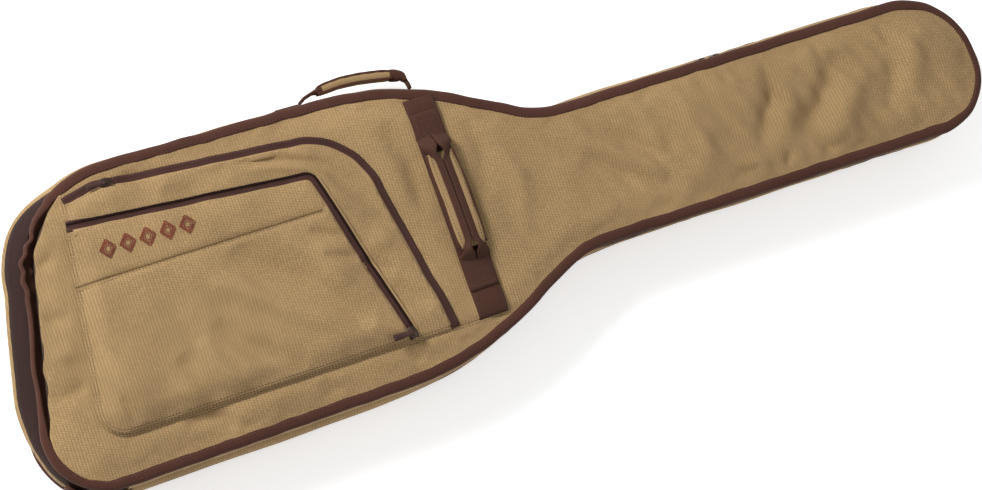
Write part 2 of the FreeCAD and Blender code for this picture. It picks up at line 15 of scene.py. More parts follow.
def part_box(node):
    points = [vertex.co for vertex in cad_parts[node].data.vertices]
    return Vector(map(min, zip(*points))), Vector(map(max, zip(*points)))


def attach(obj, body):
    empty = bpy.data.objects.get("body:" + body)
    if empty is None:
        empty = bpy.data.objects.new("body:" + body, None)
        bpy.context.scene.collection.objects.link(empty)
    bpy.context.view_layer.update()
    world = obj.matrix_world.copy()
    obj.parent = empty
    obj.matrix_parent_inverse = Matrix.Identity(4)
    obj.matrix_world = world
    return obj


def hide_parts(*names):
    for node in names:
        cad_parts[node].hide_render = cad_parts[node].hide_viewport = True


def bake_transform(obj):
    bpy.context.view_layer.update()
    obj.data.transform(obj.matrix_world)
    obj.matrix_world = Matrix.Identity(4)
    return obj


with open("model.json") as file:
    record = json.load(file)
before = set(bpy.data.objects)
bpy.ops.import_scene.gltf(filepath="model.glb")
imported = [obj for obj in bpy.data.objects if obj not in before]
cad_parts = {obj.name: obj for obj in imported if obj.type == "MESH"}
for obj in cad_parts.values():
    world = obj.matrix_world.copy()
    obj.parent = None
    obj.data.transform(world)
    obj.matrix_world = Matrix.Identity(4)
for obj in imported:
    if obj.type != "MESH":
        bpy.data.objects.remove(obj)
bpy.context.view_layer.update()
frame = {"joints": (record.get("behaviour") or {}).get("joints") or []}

MM = 0.001
SIM_FRAMES = 20


# ---- sizes from the frame ---------------------------------------------------------------
def low(node, axis):
    """Lowest coordinate of a CAD node along an axis, in millimetres."""
    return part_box(node)[0]["xyz".index(axis)] / MM


def high(node, axis):
    """Highest coordinate of a CAD node along an axis, in millimetres."""
    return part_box(node)[1]["xyz".index(axis)] / MM


def middle(node, axis):
    return (low(node, axis) + high(node, axis)) / 2


def width(node, axis):
    return high(node, axis) - low(node, axis)


Z_FRONT = high("front_panel_outer", "z")
Z_LID_LOW = low("front_binding", "z")
Z_FLOOR = high("back_panel_lining", "z")
Z_GUSSET_TOP = high("gusset_foam", "z")
Z_PART = (high("main_zip_rear_teeth", "z") + low("main_zip_front_teeth", "z")) / 2
WAIST_X = middle("waist_webbing", "x")
WAIST_HALF = width("waist_webbing", "x") / 2
SEAM_Y = low("waist_webbing", "y")
HINGE_X = (low("lid_hinge_strip", "x"), high("lid_hinge_strip", "x"))
GRIP_Y = (low("front_handle_grip", "y"), high("front_handle_grip", "y"))

# corners (x, y, radius) of the bag's front edge and of the two pockets, as in the CAD
BAG = [
    (-646, -184, 75), (-111, -176, 380), (56, -88, 120), (634, -88, 75),
    (622, 88, 93), (56, 88, 120), (-111, 176, 380), (-568, 184, 125),
]
LARGE = [(-566, -130, 33), (-124, -130, 4), (-173, 136, 95), (-486, 163, 50), (-526, 152, 4)]
SMALL = [(-564, -127, 30), (-176, -127, 4), (-237, 97.5, 14), (-530.5, 123.5, 5)]
LARGE_BAND = 9.5
SMALL_BAND = 8.5
FOLD_Y = 50.0


# ---- outlines ---------------------------------------------------------------------------
def rounded(corners, step):
    """Evenly spaced points round a polygon with an arc at each corner, anticlockwise."""
    points = np.array([c[:2] for c in corners], float)
    count = len(points)
    trace = []
    for i in range(count):
        back = points[i - 1] - points[i]
        ahead = points[(i + 1) % count] - points[i]
        back, ahead = back / np.linalg.norm(back), ahead / np.linalg.norm(ahead)
        half = math.acos(np.clip(back @ ahead, -1, 1)) / 2
        radius = corners[i][2]
        bisector = (back + ahead) / np.linalg.norm(back + ahead)
        centre = points[i] + bisector * radius / math.sin(half)
        start = points[i] + back * radius / math.tan(half)
        end = points[i] + ahead * radius / math.tan(half)
        a0 = math.atan2(*(start - centre)[::-1])
        turn = math.atan2(*(end - centre)[::-1]) - a0
        turn = (turn + math.pi) % (2 * math.pi) - math.pi
        arcs = max(2, int(abs(turn) * radius / 1.5))
        for k in range(arcs + 1):
            a = a0 + turn * k / arcs
            trace.append(centre + radius * np.array([math.cos(a), math.sin(a)]))
    return spaced(np.array(trace), step, closed=True)


def spaced(trace, step, closed=False):
    """Points a step apart along a line."""
    if closed:
        trace = looped(trace)
    legs = np.linalg.norm(np.diff(trace, axis=0), axis=1)
    along = np.concatenate([[0], np.cumsum(legs)])
    count = max(3, int(round(along[-1] / step)))
    at = np.linspace(0, along[-1], count + 1)
    if closed:
        at = at[:-1]
    return np.stack([np.interp(at, along, trace[:, k]) for k in range(trace.shape[1])], 1)


def looped(trace):
    """A closed outline with its first point again at its end."""
    return np.vstack([trace, trace[:1]])


def outward(path, closed):
    """Unit normals to the right of a path in plan, which is outward round an outline."""
    if closed:
        tangent = np.roll(path, -1, 0) - np.roll(path, 1, 0)
    else:
        tangent = np.gradient(path, axis=0)
    tangent = tangent[:, :2] / np.linalg.norm(tangent[:, :2], axis=1)[:, None]
    return np.stack([tangent[:, 1], -tangent[:, 0]], 1)


def inset(loop, distance, closed=True):
    """A line moved to its left, which is inward round an outline."""
    return loop[:, :2] - outward(loop, closed) * np.reshape(distance, (-1, 1))


def nearest(points, line, closed=True):
    """Distance from each point to a line, the nearest place, and how far along it is."""
    starts = line if closed else line[:-1]
    ends = np.roll(line, -1, 0) if closed else line[1:]
    legs = ends - starts
    square = np.maximum((legs**2).sum(1), 1e-9)
    best, along = np.empty(len(points)), np.empty(len(points))
    place = np.empty((len(points), 2))
    batch = 4000
    for k in range(0, len(points), batch):
        p = points[k : k + batch]
        t = np.clip(((p[:, None] - starts) * legs).sum(2) / square, 0, 1)
        foot = starts + legs * t[:, :, None]
        d = np.linalg.norm(p[:, None] - foot, axis=2)
        i = d.argmin(1)
        rows = np.arange(len(p))
        best[k : k + batch] = d[rows, i]
        place[k : k + batch] = foot[rows, i]
        along[k : k + batch] = (i + t[rows, i]) / len(starts)
    return best, place, along


def depth(points, loop):
    """How far each point is inside a closed outline, negative outside; and its nearest edge."""
    d, place, _ = nearest(points, loop)
    x, y = points[:, 0], points[:, 1]
    odd = np.zeros(len(points), bool)
    for (x1, y1), (x2, y2) in zip(loop, np.roll(loop, -1, 0)):
        if y1 == y2:
            continue
        crosses = (y1 > y) != (y2 > y)
        odd ^= crosses & (x < (x2 - x1) * (y - y1) / (y2 - y1) + x1)
    return np.where(odd, d, -d), place


EDGE = rounded(BAG, 8.0)
RING = rounded(BAG, 4.0)
LARGE_LOOP = rounded(LARGE, 5.0)
SMALL_LOOP = rounded(SMALL, 5.0)


def smooth(t):
    """Smooth step from 0 to 1."""
    t = np.clip(t, 0, 1)
    return t * t * (3 - 2 * t)


def waves(x, y, seed, length, stretch=1.0, angle=0.0, count=9):
    """Smooth uneven surface about zero: plane waves of mixed directions and lengths."""
    rng = np.random.default_rng(seed)
    c, s = math.cos(angle), math.sin(angle)
    u, v = (x * c + y * s) / stretch, -x * s + y * c
    total = np.zeros_like(np.asarray(x, float))
    for _ in range(count):
        way = rng.uniform(0, 2 * math.pi)
        scale = 2 * math.pi / (length * rng.uniform(0.6, 1.7))
        phase = rng.uniform(0, 2 * math.pi)
        total = total + np.sin((u * math.cos(way) + v * math.sin(way)) * scale + phase)
    return total / math.sqrt(count)


def folds(points, lines):
    """Ridges and valleys along short lines: each is (height, half width, points)."""
    total = np.zeros(len(points))
    for height, half, trace in lines:
        d, _, along = nearest(points, np.array(trace, float), closed=False)
        total += height * np.exp(-((d / half) ** 2)) * np.sin(along * math.pi) ** 0.6
    return total


# ---- meshes -----------------------------------------------------------------------------
# the record's slot of a material whose name differs from it
SLOTS = {"tan_fabric_side": "tan_fabric", "tan_fabric_fine": "tan_fabric",
         "tan_thread": "tan_fabric", "main_zip_tape": "zip_tape", "pocket_coil": "zip_teeth"}
NECK_LEAN = 4.5


def lean(verts):
    """Points of the base: under the neck its lower part sits over to the handle's side."""
    verts = np.array(verts, float)
    share = smooth((verts[:, 0] - 20) / 140) * (1 - smooth((verts[:, 2] - 6) / 62))
    verts[:, 1] += NECK_LEAN * share
    return verts


def piece(name, shape, material, body=None, replaces=(), slot=None, smooth_faces=True):
    """A mesh object from millimetre points, riding a body and standing for CAD nodes."""
    verts, faces = shape
    if body == "bag_base":
        verts = lean(verts)
    mesh = bpy.data.meshes.new(name)
    mesh.from_pydata([tuple(v) for v in np.asarray(verts, float) * MM], [], faces)
    mesh.validate()
    if smooth_faces:
        mesh.polygons.foreach_set("use_smooth", [True] * len(mesh.polygons))
    mesh.materials.append(material)
    obj = bpy.data.objects.new(name, mesh)
    bpy.context.scene.collection.objects.link(obj)
    bm = bmesh.new()
    bm.from_mesh(mesh)
    bmesh.ops.recalc_face_normals(bm, faces=bm.faces)
    bm.to_mesh(mesh)
    bm.free()
    if body:
        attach(obj, body)
    look = material.name.split(".")[0]
    slot or SLOTS.get(look, look)
    if replaces:
        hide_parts(*replaces)
    return obj


def inflate(obj, voxel, pressure, cap):
    """Swell a pad by cloth simulation with air inside it; no point moves further than cap."""
    scene = bpy.context.scene
    remesh = obj.modifiers.new("remesh", "REMESH")
    remesh.mode = "VOXEL"
    remesh.voxel_size = voxel * MM
    start = settled(obj)
    cloth = obj.modifiers.new("cloth", "CLOTH")
    cloth.settings.use_pressure = True
    cloth.settings.uniform_pressure_force = pressure
    cloth.settings.effector_weights.gravity = 0.0
    cloth.point_cache.frame_start = 1
    cloth.point_cache.frame_end = SIM_FRAMES
    for frame_number in range(1, SIM_FRAMES + 1):
        scene.frame_set(frame_number)
    swollen = settled(obj)
    scene.frame_set(1)
    move = swollen - start
    size = np.linalg.norm(move, axis=1)
    move *= np.minimum(1.0, cap * MM / np.maximum(size, 1e-9))[:, None]
    obj.data.vertices.foreach_set("co", (start + move).ravel())
    obj.modifiers.new("subdivision", "SUBSURF").levels = 1
    settled(obj)
    obj.data.polygons.foreach_set("use_smooth", [True] * len(obj.data.polygons))


def settled(obj):
    """Apply an object's modifiers; returns its vertices."""
    graph = bpy.context.evaluated_depsgraph_get()
    mesh = bpy.data.meshes.new_from_object(obj.evaluated_get(graph))
    mesh.name = obj.name
    obj.modifiers.clear()
    obj.data = mesh
    points = np.empty(3 * len(mesh.vertices))
    mesh.vertices.foreach_get("co", points)
    return points.reshape(-1, 3)


def merge(parts):
    """Several (verts, faces) as one."""
    verts, faces, start = [], [], 0
    for v, f in parts:
        verts.append(np.asarray(v, float))
        faces += [tuple(i + start for i in face) for face in f]
        start += len(v)
    return np.vstack(verts), faces


def level(z):
    """A flat surface, as a function of the place."""
    return lambda points: np.full(len(points), z)


def slab(loop, step, top, bottom):
    """Closed solid over an outline whose top and bottom heights are functions of the place."""
    lo, hi = loop.min(0) - step, loop.max(0) + step
    xs = np.arange(lo[0], hi[0] + step, step)
    ys = np.arange(lo[1], hi[1] + step, step)
    gx, gy = np.meshgrid(xs, ys, indexing="ij")
    points = np.stack([gx.ravel(), gy.ravel()], 1)
    d, place = depth(points, loop)
    index = np.arange(len(points)).reshape(len(xs), len(ys))
    quads = np.stack([index[:-1, :-1], index[1:, :-1], index[1:, 1:], index[:-1, 1:]], 2)
    quads = quads.reshape(-1, 4)
    corner_d = d[quads]
    quads = quads[(corner_d > 0).any(1) & (corner_d > -1.5 * step).all(1)]
    used = np.unique(quads)
    outside = d <= 0
    points[outside] = place[outside]
    again = np.full(len(points), -1)
    again[used] = np.arange(len(used))
    quads = again[quads]
    flat = points[used]
    n = len(flat)
    verts = np.vstack([np.column_stack([flat, top(flat)]), np.column_stack([flat, bottom(flat)])])
    edges = {}
    for q in quads:
        for a, b in zip(q, np.roll(q, -1)):
            key = (min(a, b), max(a, b))
            edges[key] = None if key in edges else (a, b)
    faces = [tuple(q) for q in quads] + [tuple(q[::-1] + n) for q in quads]
    faces += [(b, a, a + n, b + n) for a, b in (e for e in edges.values() if e is not None)]
    return verts, faces


def tube_faces(rings, m, closed=False):
    """Faces between rings of m points, with a cap at each end unless the rings close."""
    faces = []
    for i in range(rings if closed else rings - 1):
        a, b = i * m, (i + 1) % rings * m
        faces += [(a + k, a + (k + 1) % m, b + (k + 1) % m, b + k) for k in range(m)]
    if not closed:
        faces.append(tuple(range(m))[::-1])
        faces.append(tuple((rings - 1) * m + k for k in range(m)))
    return faces


def sweep(path, profile, closed=True):
    """Solid swept round a path in plan. profile is (points or 1, m, 2) of out and height."""
    profile = np.broadcast_to(profile, (len(path),) + np.shape(profile)[1:])
    xy = path[:, None, :2] + outward(path, closed)[:, None, :] * profile[:, :, :1]
    verts = np.concatenate([xy, profile[:, :, 1:]], 2).reshape(-1, 3)
    return verts, tube_faces(len(path), profile.shape[1], closed)


# a webbing's cross-section, as shares of its half width and half thickness
RIBBON = [(-1, -0.4), (-1, 0.4), (-0.96, 1), (-0.5, 1), (0, 1), (0.5, 1), (0.96, 1),
          (1, 0.4), (1, -0.4), (0.96, -1), (0.5, -1), (0, -1), (-0.5, -1), (-0.96, -1)]


def ribbon(path, widths, thickness, across):
    """Flat webbing along a 3-D path. across gives the width direction at each point."""
    path = np.asarray(path, float)
    n = len(path)
    tangent = np.gradient(path, axis=0)
    tangent /= np.linalg.norm(tangent, axis=1)[:, None]
    across = np.broadcast_to(np.asarray(across, float), (n, 3))
    across = across / np.linalg.norm(across, axis=1)[:, None]
    up = np.cross(tangent, across) * thickness / 2
    half = across * np.broadcast_to(widths, (n,))[:, None] / 2
    verts = np.stack([path + half * u + up * w for u, w in RIBBON], 1)
    return verts.reshape(-1, 3), tube_faces(n, len(RIBBON))


def stitches(trace, pitch=4.2, long=2.9, wide=0.75, tall=0.5):
    """A row of short thread stitches along a 3-D line."""
    points = spaced(np.asarray(trace, float), pitch)
    parts = []
    for a, b in zip(points, points[1:]):
        way = b - a
        size = np.linalg.norm(way)
        if size < 1e-6:
            continue
        way /= size
        side = np.cross(np.array([0.0, 0, 1]), way)
        if np.linalg.norm(side) < 1e-3:
            side = np.array([1.0, 0, 0])
        side /= np.linalg.norm(side)
        up = np.cross(way, side)
        ring = []
        for t, grow, lift in ((-0.5, 0.35, -0.35), (-0.2, 1, 0), (0.2, 1, 0), (0.5, 0.35, -0.35)):
            centre = (a + b) / 2 + way * long * t + up * tall * lift
            for su, sw in ((-1, 0), (0, 1), (1, 0), (0, -1)):
                ring.append(centre + side * su * wide / 2 * grow + up * sw * tall / 2 * grow)
        parts.append((ring, tube_faces(4, 4)))
    return merge(parts)


def sewn(name, rows, thread, body, slot=None, replaces=(), **size):
    """Rows of stitches as one piece."""
    shape = merge([stitches(row, **size) for row in rows])
    piece(name, shape, thread, body, replaces, slot)


def clipped(loop, limit, above):
    """The part of a closed outline on one side of a level in y."""
    sign = 1 if above else -1
    result = []
    for a, b in zip(loop, np.roll(loop, -1, 0)):
        da, db = sign * (a[1] - limit), sign * (b[1] - limit)
        if da >= 0:
            result.append(a)
        if da * db < 0:
            result.append(a + (b - a) * da / (da - db))
    return spaced(np.array(result), 3.0, closed=True)


def blocks(centres, along, out, size):
    """Small chamfered blocks, one at each centre, with their own directions."""
    corners = [(-1, -1, -1), (1, -1, -1), (1, 1, -0.5), (-1, 1, -0.5),
               (-1, -1, 1), (1, -1, 1), (1, 1, 0.5), (-1, 1, 0.5)]
    faces = [(0, 3, 2, 1), (4, 5, 6, 7), (0, 1, 5, 4), (1, 2, 6, 5), (2, 3, 7, 6), (3, 0, 4, 7)]
    parts = []
    for c, t, n in zip(centres, along, out):
        axes = np.array([[*t, 0.0], [*n, 0.0], [0.0, 0.0, 1.0]])
        parts.append((c + np.array(corners) * np.array(size) / 2 @ axes, faces))
    return merge(parts)


# ---- materials --------------------------------------------------------------------------
def shader(name, roughness, sheen=0.0, metallic=0.0, specular=0.5):
    """A material, its Principled shader, and helpers that wire and add nodes."""
    material = bpy.data.materials.new(name)
    material.use_nodes = True
    tree = material.node_tree

    def wire(node, values):
        """Set a node's inputs; an input given a socket is linked to it."""
        for key, value in values.items():
            if isinstance(value, bpy.types.NodeSocket):
                tree.links.new(value, node.inputs[key])
            else:
                node.inputs[key].default_value = value
        return node

    def add(kind, values, operation=None):
        node = tree.nodes.new("ShaderNode" + kind)
        if operation:
            node.operation = operation
        return wire(node, values)

    principled = tree.nodes["Principled BSDF"]
    wire(principled, {"Roughness": roughness, "Metallic": metallic,
                      "Specular IOR Level": specular})
    if sheen:
        wire(principled, {"Sheen Weight": sheen, "Sheen Roughness": 0.6,
                          "Sheen Tint": (0.5, 0.42, 0.34, 1)})
    return material, principled, wire, add


def placing(add, turn=0.0, slant=0.0):
    """Object coordinates turned in plan, with height added along the weave."""
    place = add("TexCoord", {}).outputs["Object"]
    mapping = add("Mapping", {"Vector": place, "Rotation": (slant, 0.0, turn)})
    return mapping.outputs["Vector"]


def noise(add, place, scale, detail):
    node = add("TexNoise", {"Vector": place, "Scale": scale, "Detail": detail})
    return node.outputs["Fac"]


def spread(add, value, smallest, largest):
    """A noise's middle range stretched to run between two values."""
    node = add("MapRange", {"Value": value, "From Min": 0.3, "From Max": 0.7,
                            "To Min": smallest, "To Max": largest})
    return node.outputs["Result"]


def bumped(wire, add, principled, height, strength, depth_mm):
    bump = add("Bump", {"Height": height, "Strength": strength, "Distance": depth_mm * MM})
    wire(principled, {"Normal": bump.outputs["Normal"]})


def shade(colour, share=1.0):
    return tuple(min(1, c * share) for c in colour) + (1,)


def woven(name, colour, cell, roughness=0.85, sheen=0.1, turn=0.0, depth_mm=0.35,
          contrast=0.35, blotch=0.10, fuzz=0.3, slant=0.0, specular=0.15):
    """Woven cloth: rows of yarn cells with gaps, uneven yarns, slow colour changes, bump."""
    material, principled, wire, add = shader(name, roughness, sheen, specular=specular)
    place = placing(add, turn, slant)
    brick = add("TexBrick", {
        "Vector": place, "Scale": 1.0, "Brick Width": cell[0] * MM, "Row Height": cell[1] * MM,
        "Mortar Size": min(cell) * MM * 0.16, "Mortar Smooth": 0.7,
        "Color1": shade(colour, 1 + contrast * 0.3), "Color2": shade(colour),
        "Mortar": shade(colour, 1 - contrast),
    })
    slow, fine = noise(add, place, 9.0, 4.0), noise(add, place, 900.0, 3.0)
    wear = spread(add, slow, 1 - blotch, 1 + blotch)
    yarn = spread(add, fine, 1 - fuzz * 0.6, 1 + fuzz * 0.4)
    product = add("Math", {0: wear, 1: yarn}, "MULTIPLY")
    tint = add("VectorMath", {0: brick.outputs["Color"], "Scale": product.outputs["Value"]},
               "SCALE")
    wire(principled, {"Base Color": tint.outputs["Vector"]})
    proud = add("Math", {0: 1.0, 1: brick.outputs["Fac"]}, "SUBTRACT")
    grain = add("Math", {0: fine, 1: fuzz, 2: proud.outputs["Value"]}, "MULTIPLY_ADD")
    bumped(wire, add, principled, grain.outputs["Value"], 0.7, depth_mm)
    return material


def solid(name, colour, roughness, metallic=0.0, grain=400.0, depth_mm=0.08, wear=0.12,
          specular=0.5):
    """Moulded, cast or spun material: uneven colour, roughness and a fine grain."""
    material, principled, wire, add = shader(name, roughness, metallic=metallic,
                                             specular=specular)
    place = placing(add)
    slow = noise(add, place, 60.0, 5.0)
    ramp = add("ValToRGB", {"Fac": slow})
    for element, position, share in zip(ramp.color_ramp.elements, (0.35, 0.7),
                                        (1 - wear, 1 + wear)):
        element.position = position
        element.color = shade(colour, share)
    rough = add("MapRange", {"Value": slow, "To Min": max(0.05, roughness - 0.12),
                             "To Max": min(1.0, roughness + 0.12)})
    wire(principled, {"Base Color": ramp.outputs["Color"], "Roughness": rough.outputs["Result"]})
    bumped(wire, add, principled, noise(add, place, grain, 3.0), 0.5, depth_mm)
    return material


TAN_COLOUR = (0.385, 0.252, 0.118)
BROWN_COLOUR = (0.082, 0.032, 0.022)
QUARTER = math.pi / 2
TAN = woven("tan_fabric", TAN_COLOUR, (2.0, 3.6), turn=QUARTER, depth_mm=0.6, contrast=0.55,
            fuzz=0.4)
TAN_SIDE = woven("tan_fabric_side", TAN_COLOUR, (2.0, 3.6), turn=QUARTER, slant=QUARTER,
                 depth_mm=0.5, contrast=0.5, fuzz=0.4)
TAN_FINE = woven("tan_fabric_fine", TAN_COLOUR, (1.4, 1.4), depth_mm=0.3, contrast=0.3)
BINDING_TAPE = woven("brown_binding", BROWN_COLOUR, (1.5, 1.1), turn=QUARTER / 2, sheen=0.06,
                     depth_mm=0.25, contrast=0.4)
WEB = woven("brown_webbing", (0.076, 0.031, 0.020), (2.6, 1.5), sheen=0.06, depth_mm=0.5,
            contrast=0.5, roughness=0.75)
ZIP_TAPE = woven("zip_tape", (0.062, 0.025, 0.020), (1.1, 1.6), sheen=0.04, depth_mm=0.25,
                 contrast=0.35, roughness=0.7)
# Main zip tape: the pocket zip tape's brown at about half its brightness. This darker copy is painted
# shade for the sunken zip at the bottom end, and it is used all round the zip.
SHADED_MAIN_TAPE = woven("main_zip_tape", (0.030, 0.012, 0.010), (1.1, 1.6), sheen=0.02, depth_mm=0.25,
                  contrast=0.35, roughness=0.75)
TEETH = solid("zip_teeth", (0.020, 0.010, 0.008), 0.38, grain=900)
# Pocket zip coil: near black and matte. It is a real coil, and its colour is also painted shade for the
# dark gap under the outer fold.
COIL_AND_GAP_SHADE = solid("pocket_coil", (0.016, 0.007, 0.006), 0.85, grain=900, specular=0.08)
METAL = solid("bronze_metal", (0.085, 0.058, 0.045), 0.34, metallic=1.0, wear=0.4)
TAB = solid("pull_tab", (0.055, 0.025, 0.020), 0.65, grain=700, depth_mm=0.2, specular=0.2)
LINING_CLOTH = woven("lining", (0.075, 0.052, 0.036), (1.6, 1.2), sheen=0.25, depth_mm=0.3)
PLUSH = woven("padding_cover", (0.060, 0.042, 0.030), (1.2, 1.2), sheen=0.35, depth_mm=0.4)
HOOK = woven("hook_strap", (0.022, 0.018, 0.016), (1.0, 1.0), sheen=0.2, depth_mm=0.5)
PLASTIC = solid("buckle_plastic", (0.030, 0.018, 0.014), 0.42, grain=500)
THREAD = solid("rust_thread", (0.20, 0.040, 0.016), 0.6, grain=1500, depth_mm=0.15, wear=0.25)
TAN_THREAD = solid("tan_thread", (0.065, 0.034, 0.015), 0.7, grain=1500, depth_mm=0.1)
BROWN_THREAD = solid("brown_thread", (0.085, 0.038, 0.028), 0.65, grain=1500, depth_mm=0.1)


# ---- the front's surface ----------------------------------------------------------------
# ridges (+) and valleys (-) of the front: height, half width, and the line they follow
PANEL_FOLDS = [
    (-6.5, 15, [(446, 52), (424, 16), (405, -10), (366, -36)]),
    (-3.5, 12, [(524, 30), (506, -12), (488, -42)]),
    (-4.5, 11, [(350, 62), (346, 20), (326, -10), (312, -34)]),
    (-2.0, 5, [(346, 66), (353, 30), (338, -4)]),
    (5.0, 17, [(486, 30), (440, -20), (402, -54)]),
    (4.2, 15, [(376, 62), (366, 3), (330, -48)]),
    (4.5, 18, [(560, 50), (540, 10), (524, -30)]),
    (-2.8, 5, [(290, 74), (301, 50)]),
    (-2.8, 5, [(416, 72), (430, 44)]),
    (-2.8, 6, [(510, 66), (520, 34)]),
    (-2.8, 5, [(344, -50), (334, -80)]),
    (-2.4, 6, [(380, -44), (396, -62), (420, -70)]),
    (-2.4, 6, [(270, -54), (290, -62), (306, -60)]),
    (-4.0, 12, [(96, 66), (140, 30), (176, 0), (214, -32)]),
    (-4.5, 13, [(90, 22), (140, -20), (200, -58)]),
    (3.8, 15, [(86, 46), (136, 2), (184, -36)]),
    (3.2, 14, [(232, 50), (246, 0), (232, -50)]),
    (-2.6, 12, [(196, 56), (206, 20), (200, -14)]),
    (-5.0, 12, [(-136, 128), (-118, 76), (-121, 10)]),
    (3.4, 12, [(-12, 92), (4, 20), (-8, -50)]),
    (-3.2, 10, [(-38, 104), (-30, 60), (-38, 10)]),
    (-5.0, 15, [(-456, 160), (-434, 150), (-410, 132)]),
    (-5.0, 7, [(-472, -139), (-440, -136), (-422, -142), (-414, -168)]),
    (-3.2, 8, [(-300, -136), (-286, -166)]),
    (-3.2, 8, [(-190, -132), (-176, -162)]),
    (-3.4, 9, [(-598, 24), (-580, 26), (-556, 18)]),
    (-3.4, 9, [(-604, -56), (-586, -66), (-560, -58)]),
    (-3.2, 8, [(-590, 92), (-570, 88), (-548, 96)]),
    (3.0, 10, [(-596, -14), (-576, -20), (-558, -14)]),
]
LARGE_FOLDS = [
    (-7.5, 4.5, [(-322, 134), (-279, 128), (-243, 114), (-214, 98)]),
    (-7.0, 11, [(-238, 112), (-216, 96), (-197, 70), (-180, 42), (-170, 17)]),
    (4.5, 6, [(-308, 121), (-272, 116), (-238, 102), (-214, 84)]),
    (3.0, 10, [(-480, 140), (-400, 136), (-320, 140)]),
    (-3.4, 6, [(-196, 32), (-162, 8)]),
    (-4.4, 6, [(-208, -20), (-178, -44)]),
    (-4.6, 10, [(-186, -58), (-150, -96)]),
    (3.6, 9, [(-196, 2), (-172, -12)]),
    (-3.6, 12, [(-440, 146), (-420, 132), (-396, 120)]),
    (-3.6, 10, [(-372, 148), (-352, 134), (-330, 124)]),
]
SMALL_FOLDS = [
    (-8.5, 14, [(-358, 38), (-312, -3), (-270, -40), (-239, -83), (-222, -92)]),
    (6.0, 13, [(-390, 12), (-347, -19), (-301, -60), (-229, -107)]),
    (-8.0, 13, [(-402, -36), (-377, -71), (-344, -97), (-312, -116)]),
    (6.0, 11, [(-424, -50), (-413, -83), (-390, -122)]),
    (-5.5, 9, [(-452, -60), (-440, -92), (-420, -122)]),
    (-5.0, 6, [(-262, 32), (-222, 10)]),
    (-5.0, 6, [(-256, 0), (-214, -16)]),
    (4.5, 11, [(-296, 34), (-262, 2), (-236, -44)]),
    (-3.5, 7, [(-528, -84), (-520, -119)]),
    (3.6, 16, [(-474, 24), (-450, -30), (-448, -70)]),
]


def face(points):
    """Height of the front panel's skin: crowned from the binding, uneven and folded."""
    x, y = points[:, 0], points[:, 1]
    d, _ = depth(points, EDGE)
    inner = smooth((d - 7) / 34)
    seam_line = np.exp(-(((y - SEAM_Y) / 5.0) ** 2))
    seam_line *= smooth((-50 - x) / 14) * smooth((x + 540) / 20)
    neck = smooth((x - 60) / 120)
    uneven = 1.5 * waves(x, y, 3, 120) + 0.55 * waves(x, y, 4, 42)
    uneven += (0.6 + neck) * 1.1 * waves(x, y, 5, 34, stretch=2.6, angle=-1.1)
    pucker = np.exp(-(((d - 20) / 7) ** 2)) * waves(x, y, 6, 24)
    height = Z_FRONT + 5.5 * inner - 2.2 * seam_line + inner * uneven
    return height + 0.9 * pucker + 1.5 * smooth((d - 11) / 16) * folds(points, PANEL_FOLDS)


def left_edge(corners, y):
    """Where a pocket's sewn left edge is at a height y."""
    (x0, y0), (x1, y1) = corners[0][:2], corners[-1][:2]
    return x0 + (y - y0) / (y1 - y0) * (x1 - x0)


def zipped_share(corners, places):
    """1 where a pocket's edge is its zip, 0 where it is sewn down."""
    x, y = places[:, 0], places[:, 1]
    low_y, centre_x = corners[0][1], (corners[0][0] + corners[1][0]) / 2
    open_edge = smooth((y - low_y - 1) / 4) * smooth((x - left_edge(corners, y) - 1) / 6)
    return open_edge * np.maximum(smooth((y - low_y - 60) / 20), smooth((x - centre_x) / 40))


def puffed(points, corners, loop, sewn_down, zipped, full):
    """How far a pocket's cloth stands off what is under it, and how free it is to fold."""
    d, places = depth(points, loop)
    start = sewn_down + (zipped - sewn_down) * zipped_share(corners, places)
    return start + (full - start) * smooth(d / 30) ** 0.8, smooth(d / 12)


def large_top(points):
    """Height of the large pocket's cloth."""
    puff, free = puffed(points, LARGE, LARGE_LOOP, 1.6, 3.4, 6.6)
    uneven = 0.8 * waves(*points.T, 8, 70) + folds(points, LARGE_FOLDS)
    return face(points) + np.maximum(puff + free * uneven, 1.0)


def small_top(points):
    """Height of the small pocket's cloth."""
    puff, free = puffed(points, SMALL, SMALL_LOOP, 1.4, 3.0, 8.0)
    x, y = points.T
    crease = 2.6 * np.exp(-(((y - fold_line(x)) / 4.0) ** 2))
    uneven = 0.7 * waves(x, y, 11, 70) + smooth((FOLD_Y - y) / 14) * folds(points, SMALL_FOLDS)
    return large_top(points) + np.maximum(puff + free * (uneven - crease), 1.0)


def fold_line(x):
    """The small pocket's fold, as it runs across."""
    return FOLD_Y - 3.0 * smooth((-470 - x) / 60)


def over(trace, height, lift):
    """A line in plan raised to a surface."""
    trace = np.asarray(trace, float)[:, :2]
    return np.column_stack([trace, height(trace) + lift])


# ---- lid --------------------------------------------------------------------------------
def end_share(path):
    """1 round the bottom end, where the side bulges and the zip sinks in, 0 elsewhere."""
    x, y = path[:, 0], path[:, 1]
    start = -545 + 30 * smooth((y - 60) / 60)
    low_corner = 0.8 * smooth((-50 - y) / 80)
    return smooth((start - x) / 60) * (1 - low_corner)


def mixed(side, end, share):
    """Profile at each point of a path, between its shape along the sides and at the end."""
    a, b = np.array(side, float), np.array(end, float)
    return a + (b - a) * share[:, None, None]


def thick(line, thickness):
    """Closed profile from its outer line of (out, height)."""
    inner = line[:, ::-1].copy()
    inner[:, :, 0] -= thickness
    return np.concatenate([line, inner], 1)


def split_ring():
    """The ring's stretch with the zip, and the stretch with the lid's fabric hinge."""
    x, y = RING.T
    on = (y < -150) & (x > HINGE_X[0]) & (x < HINGE_X[1])
    last = int(np.where(on)[0].max())
    ring, on = np.roll(RING, -last, 0), np.roll(on, -last)
    count = int((~on).sum())
    return ring[: count + 2], np.vstack([ring[count + 1 :], ring[:1]])


ZIP_PATH, HINGE_PATH = split_ring()


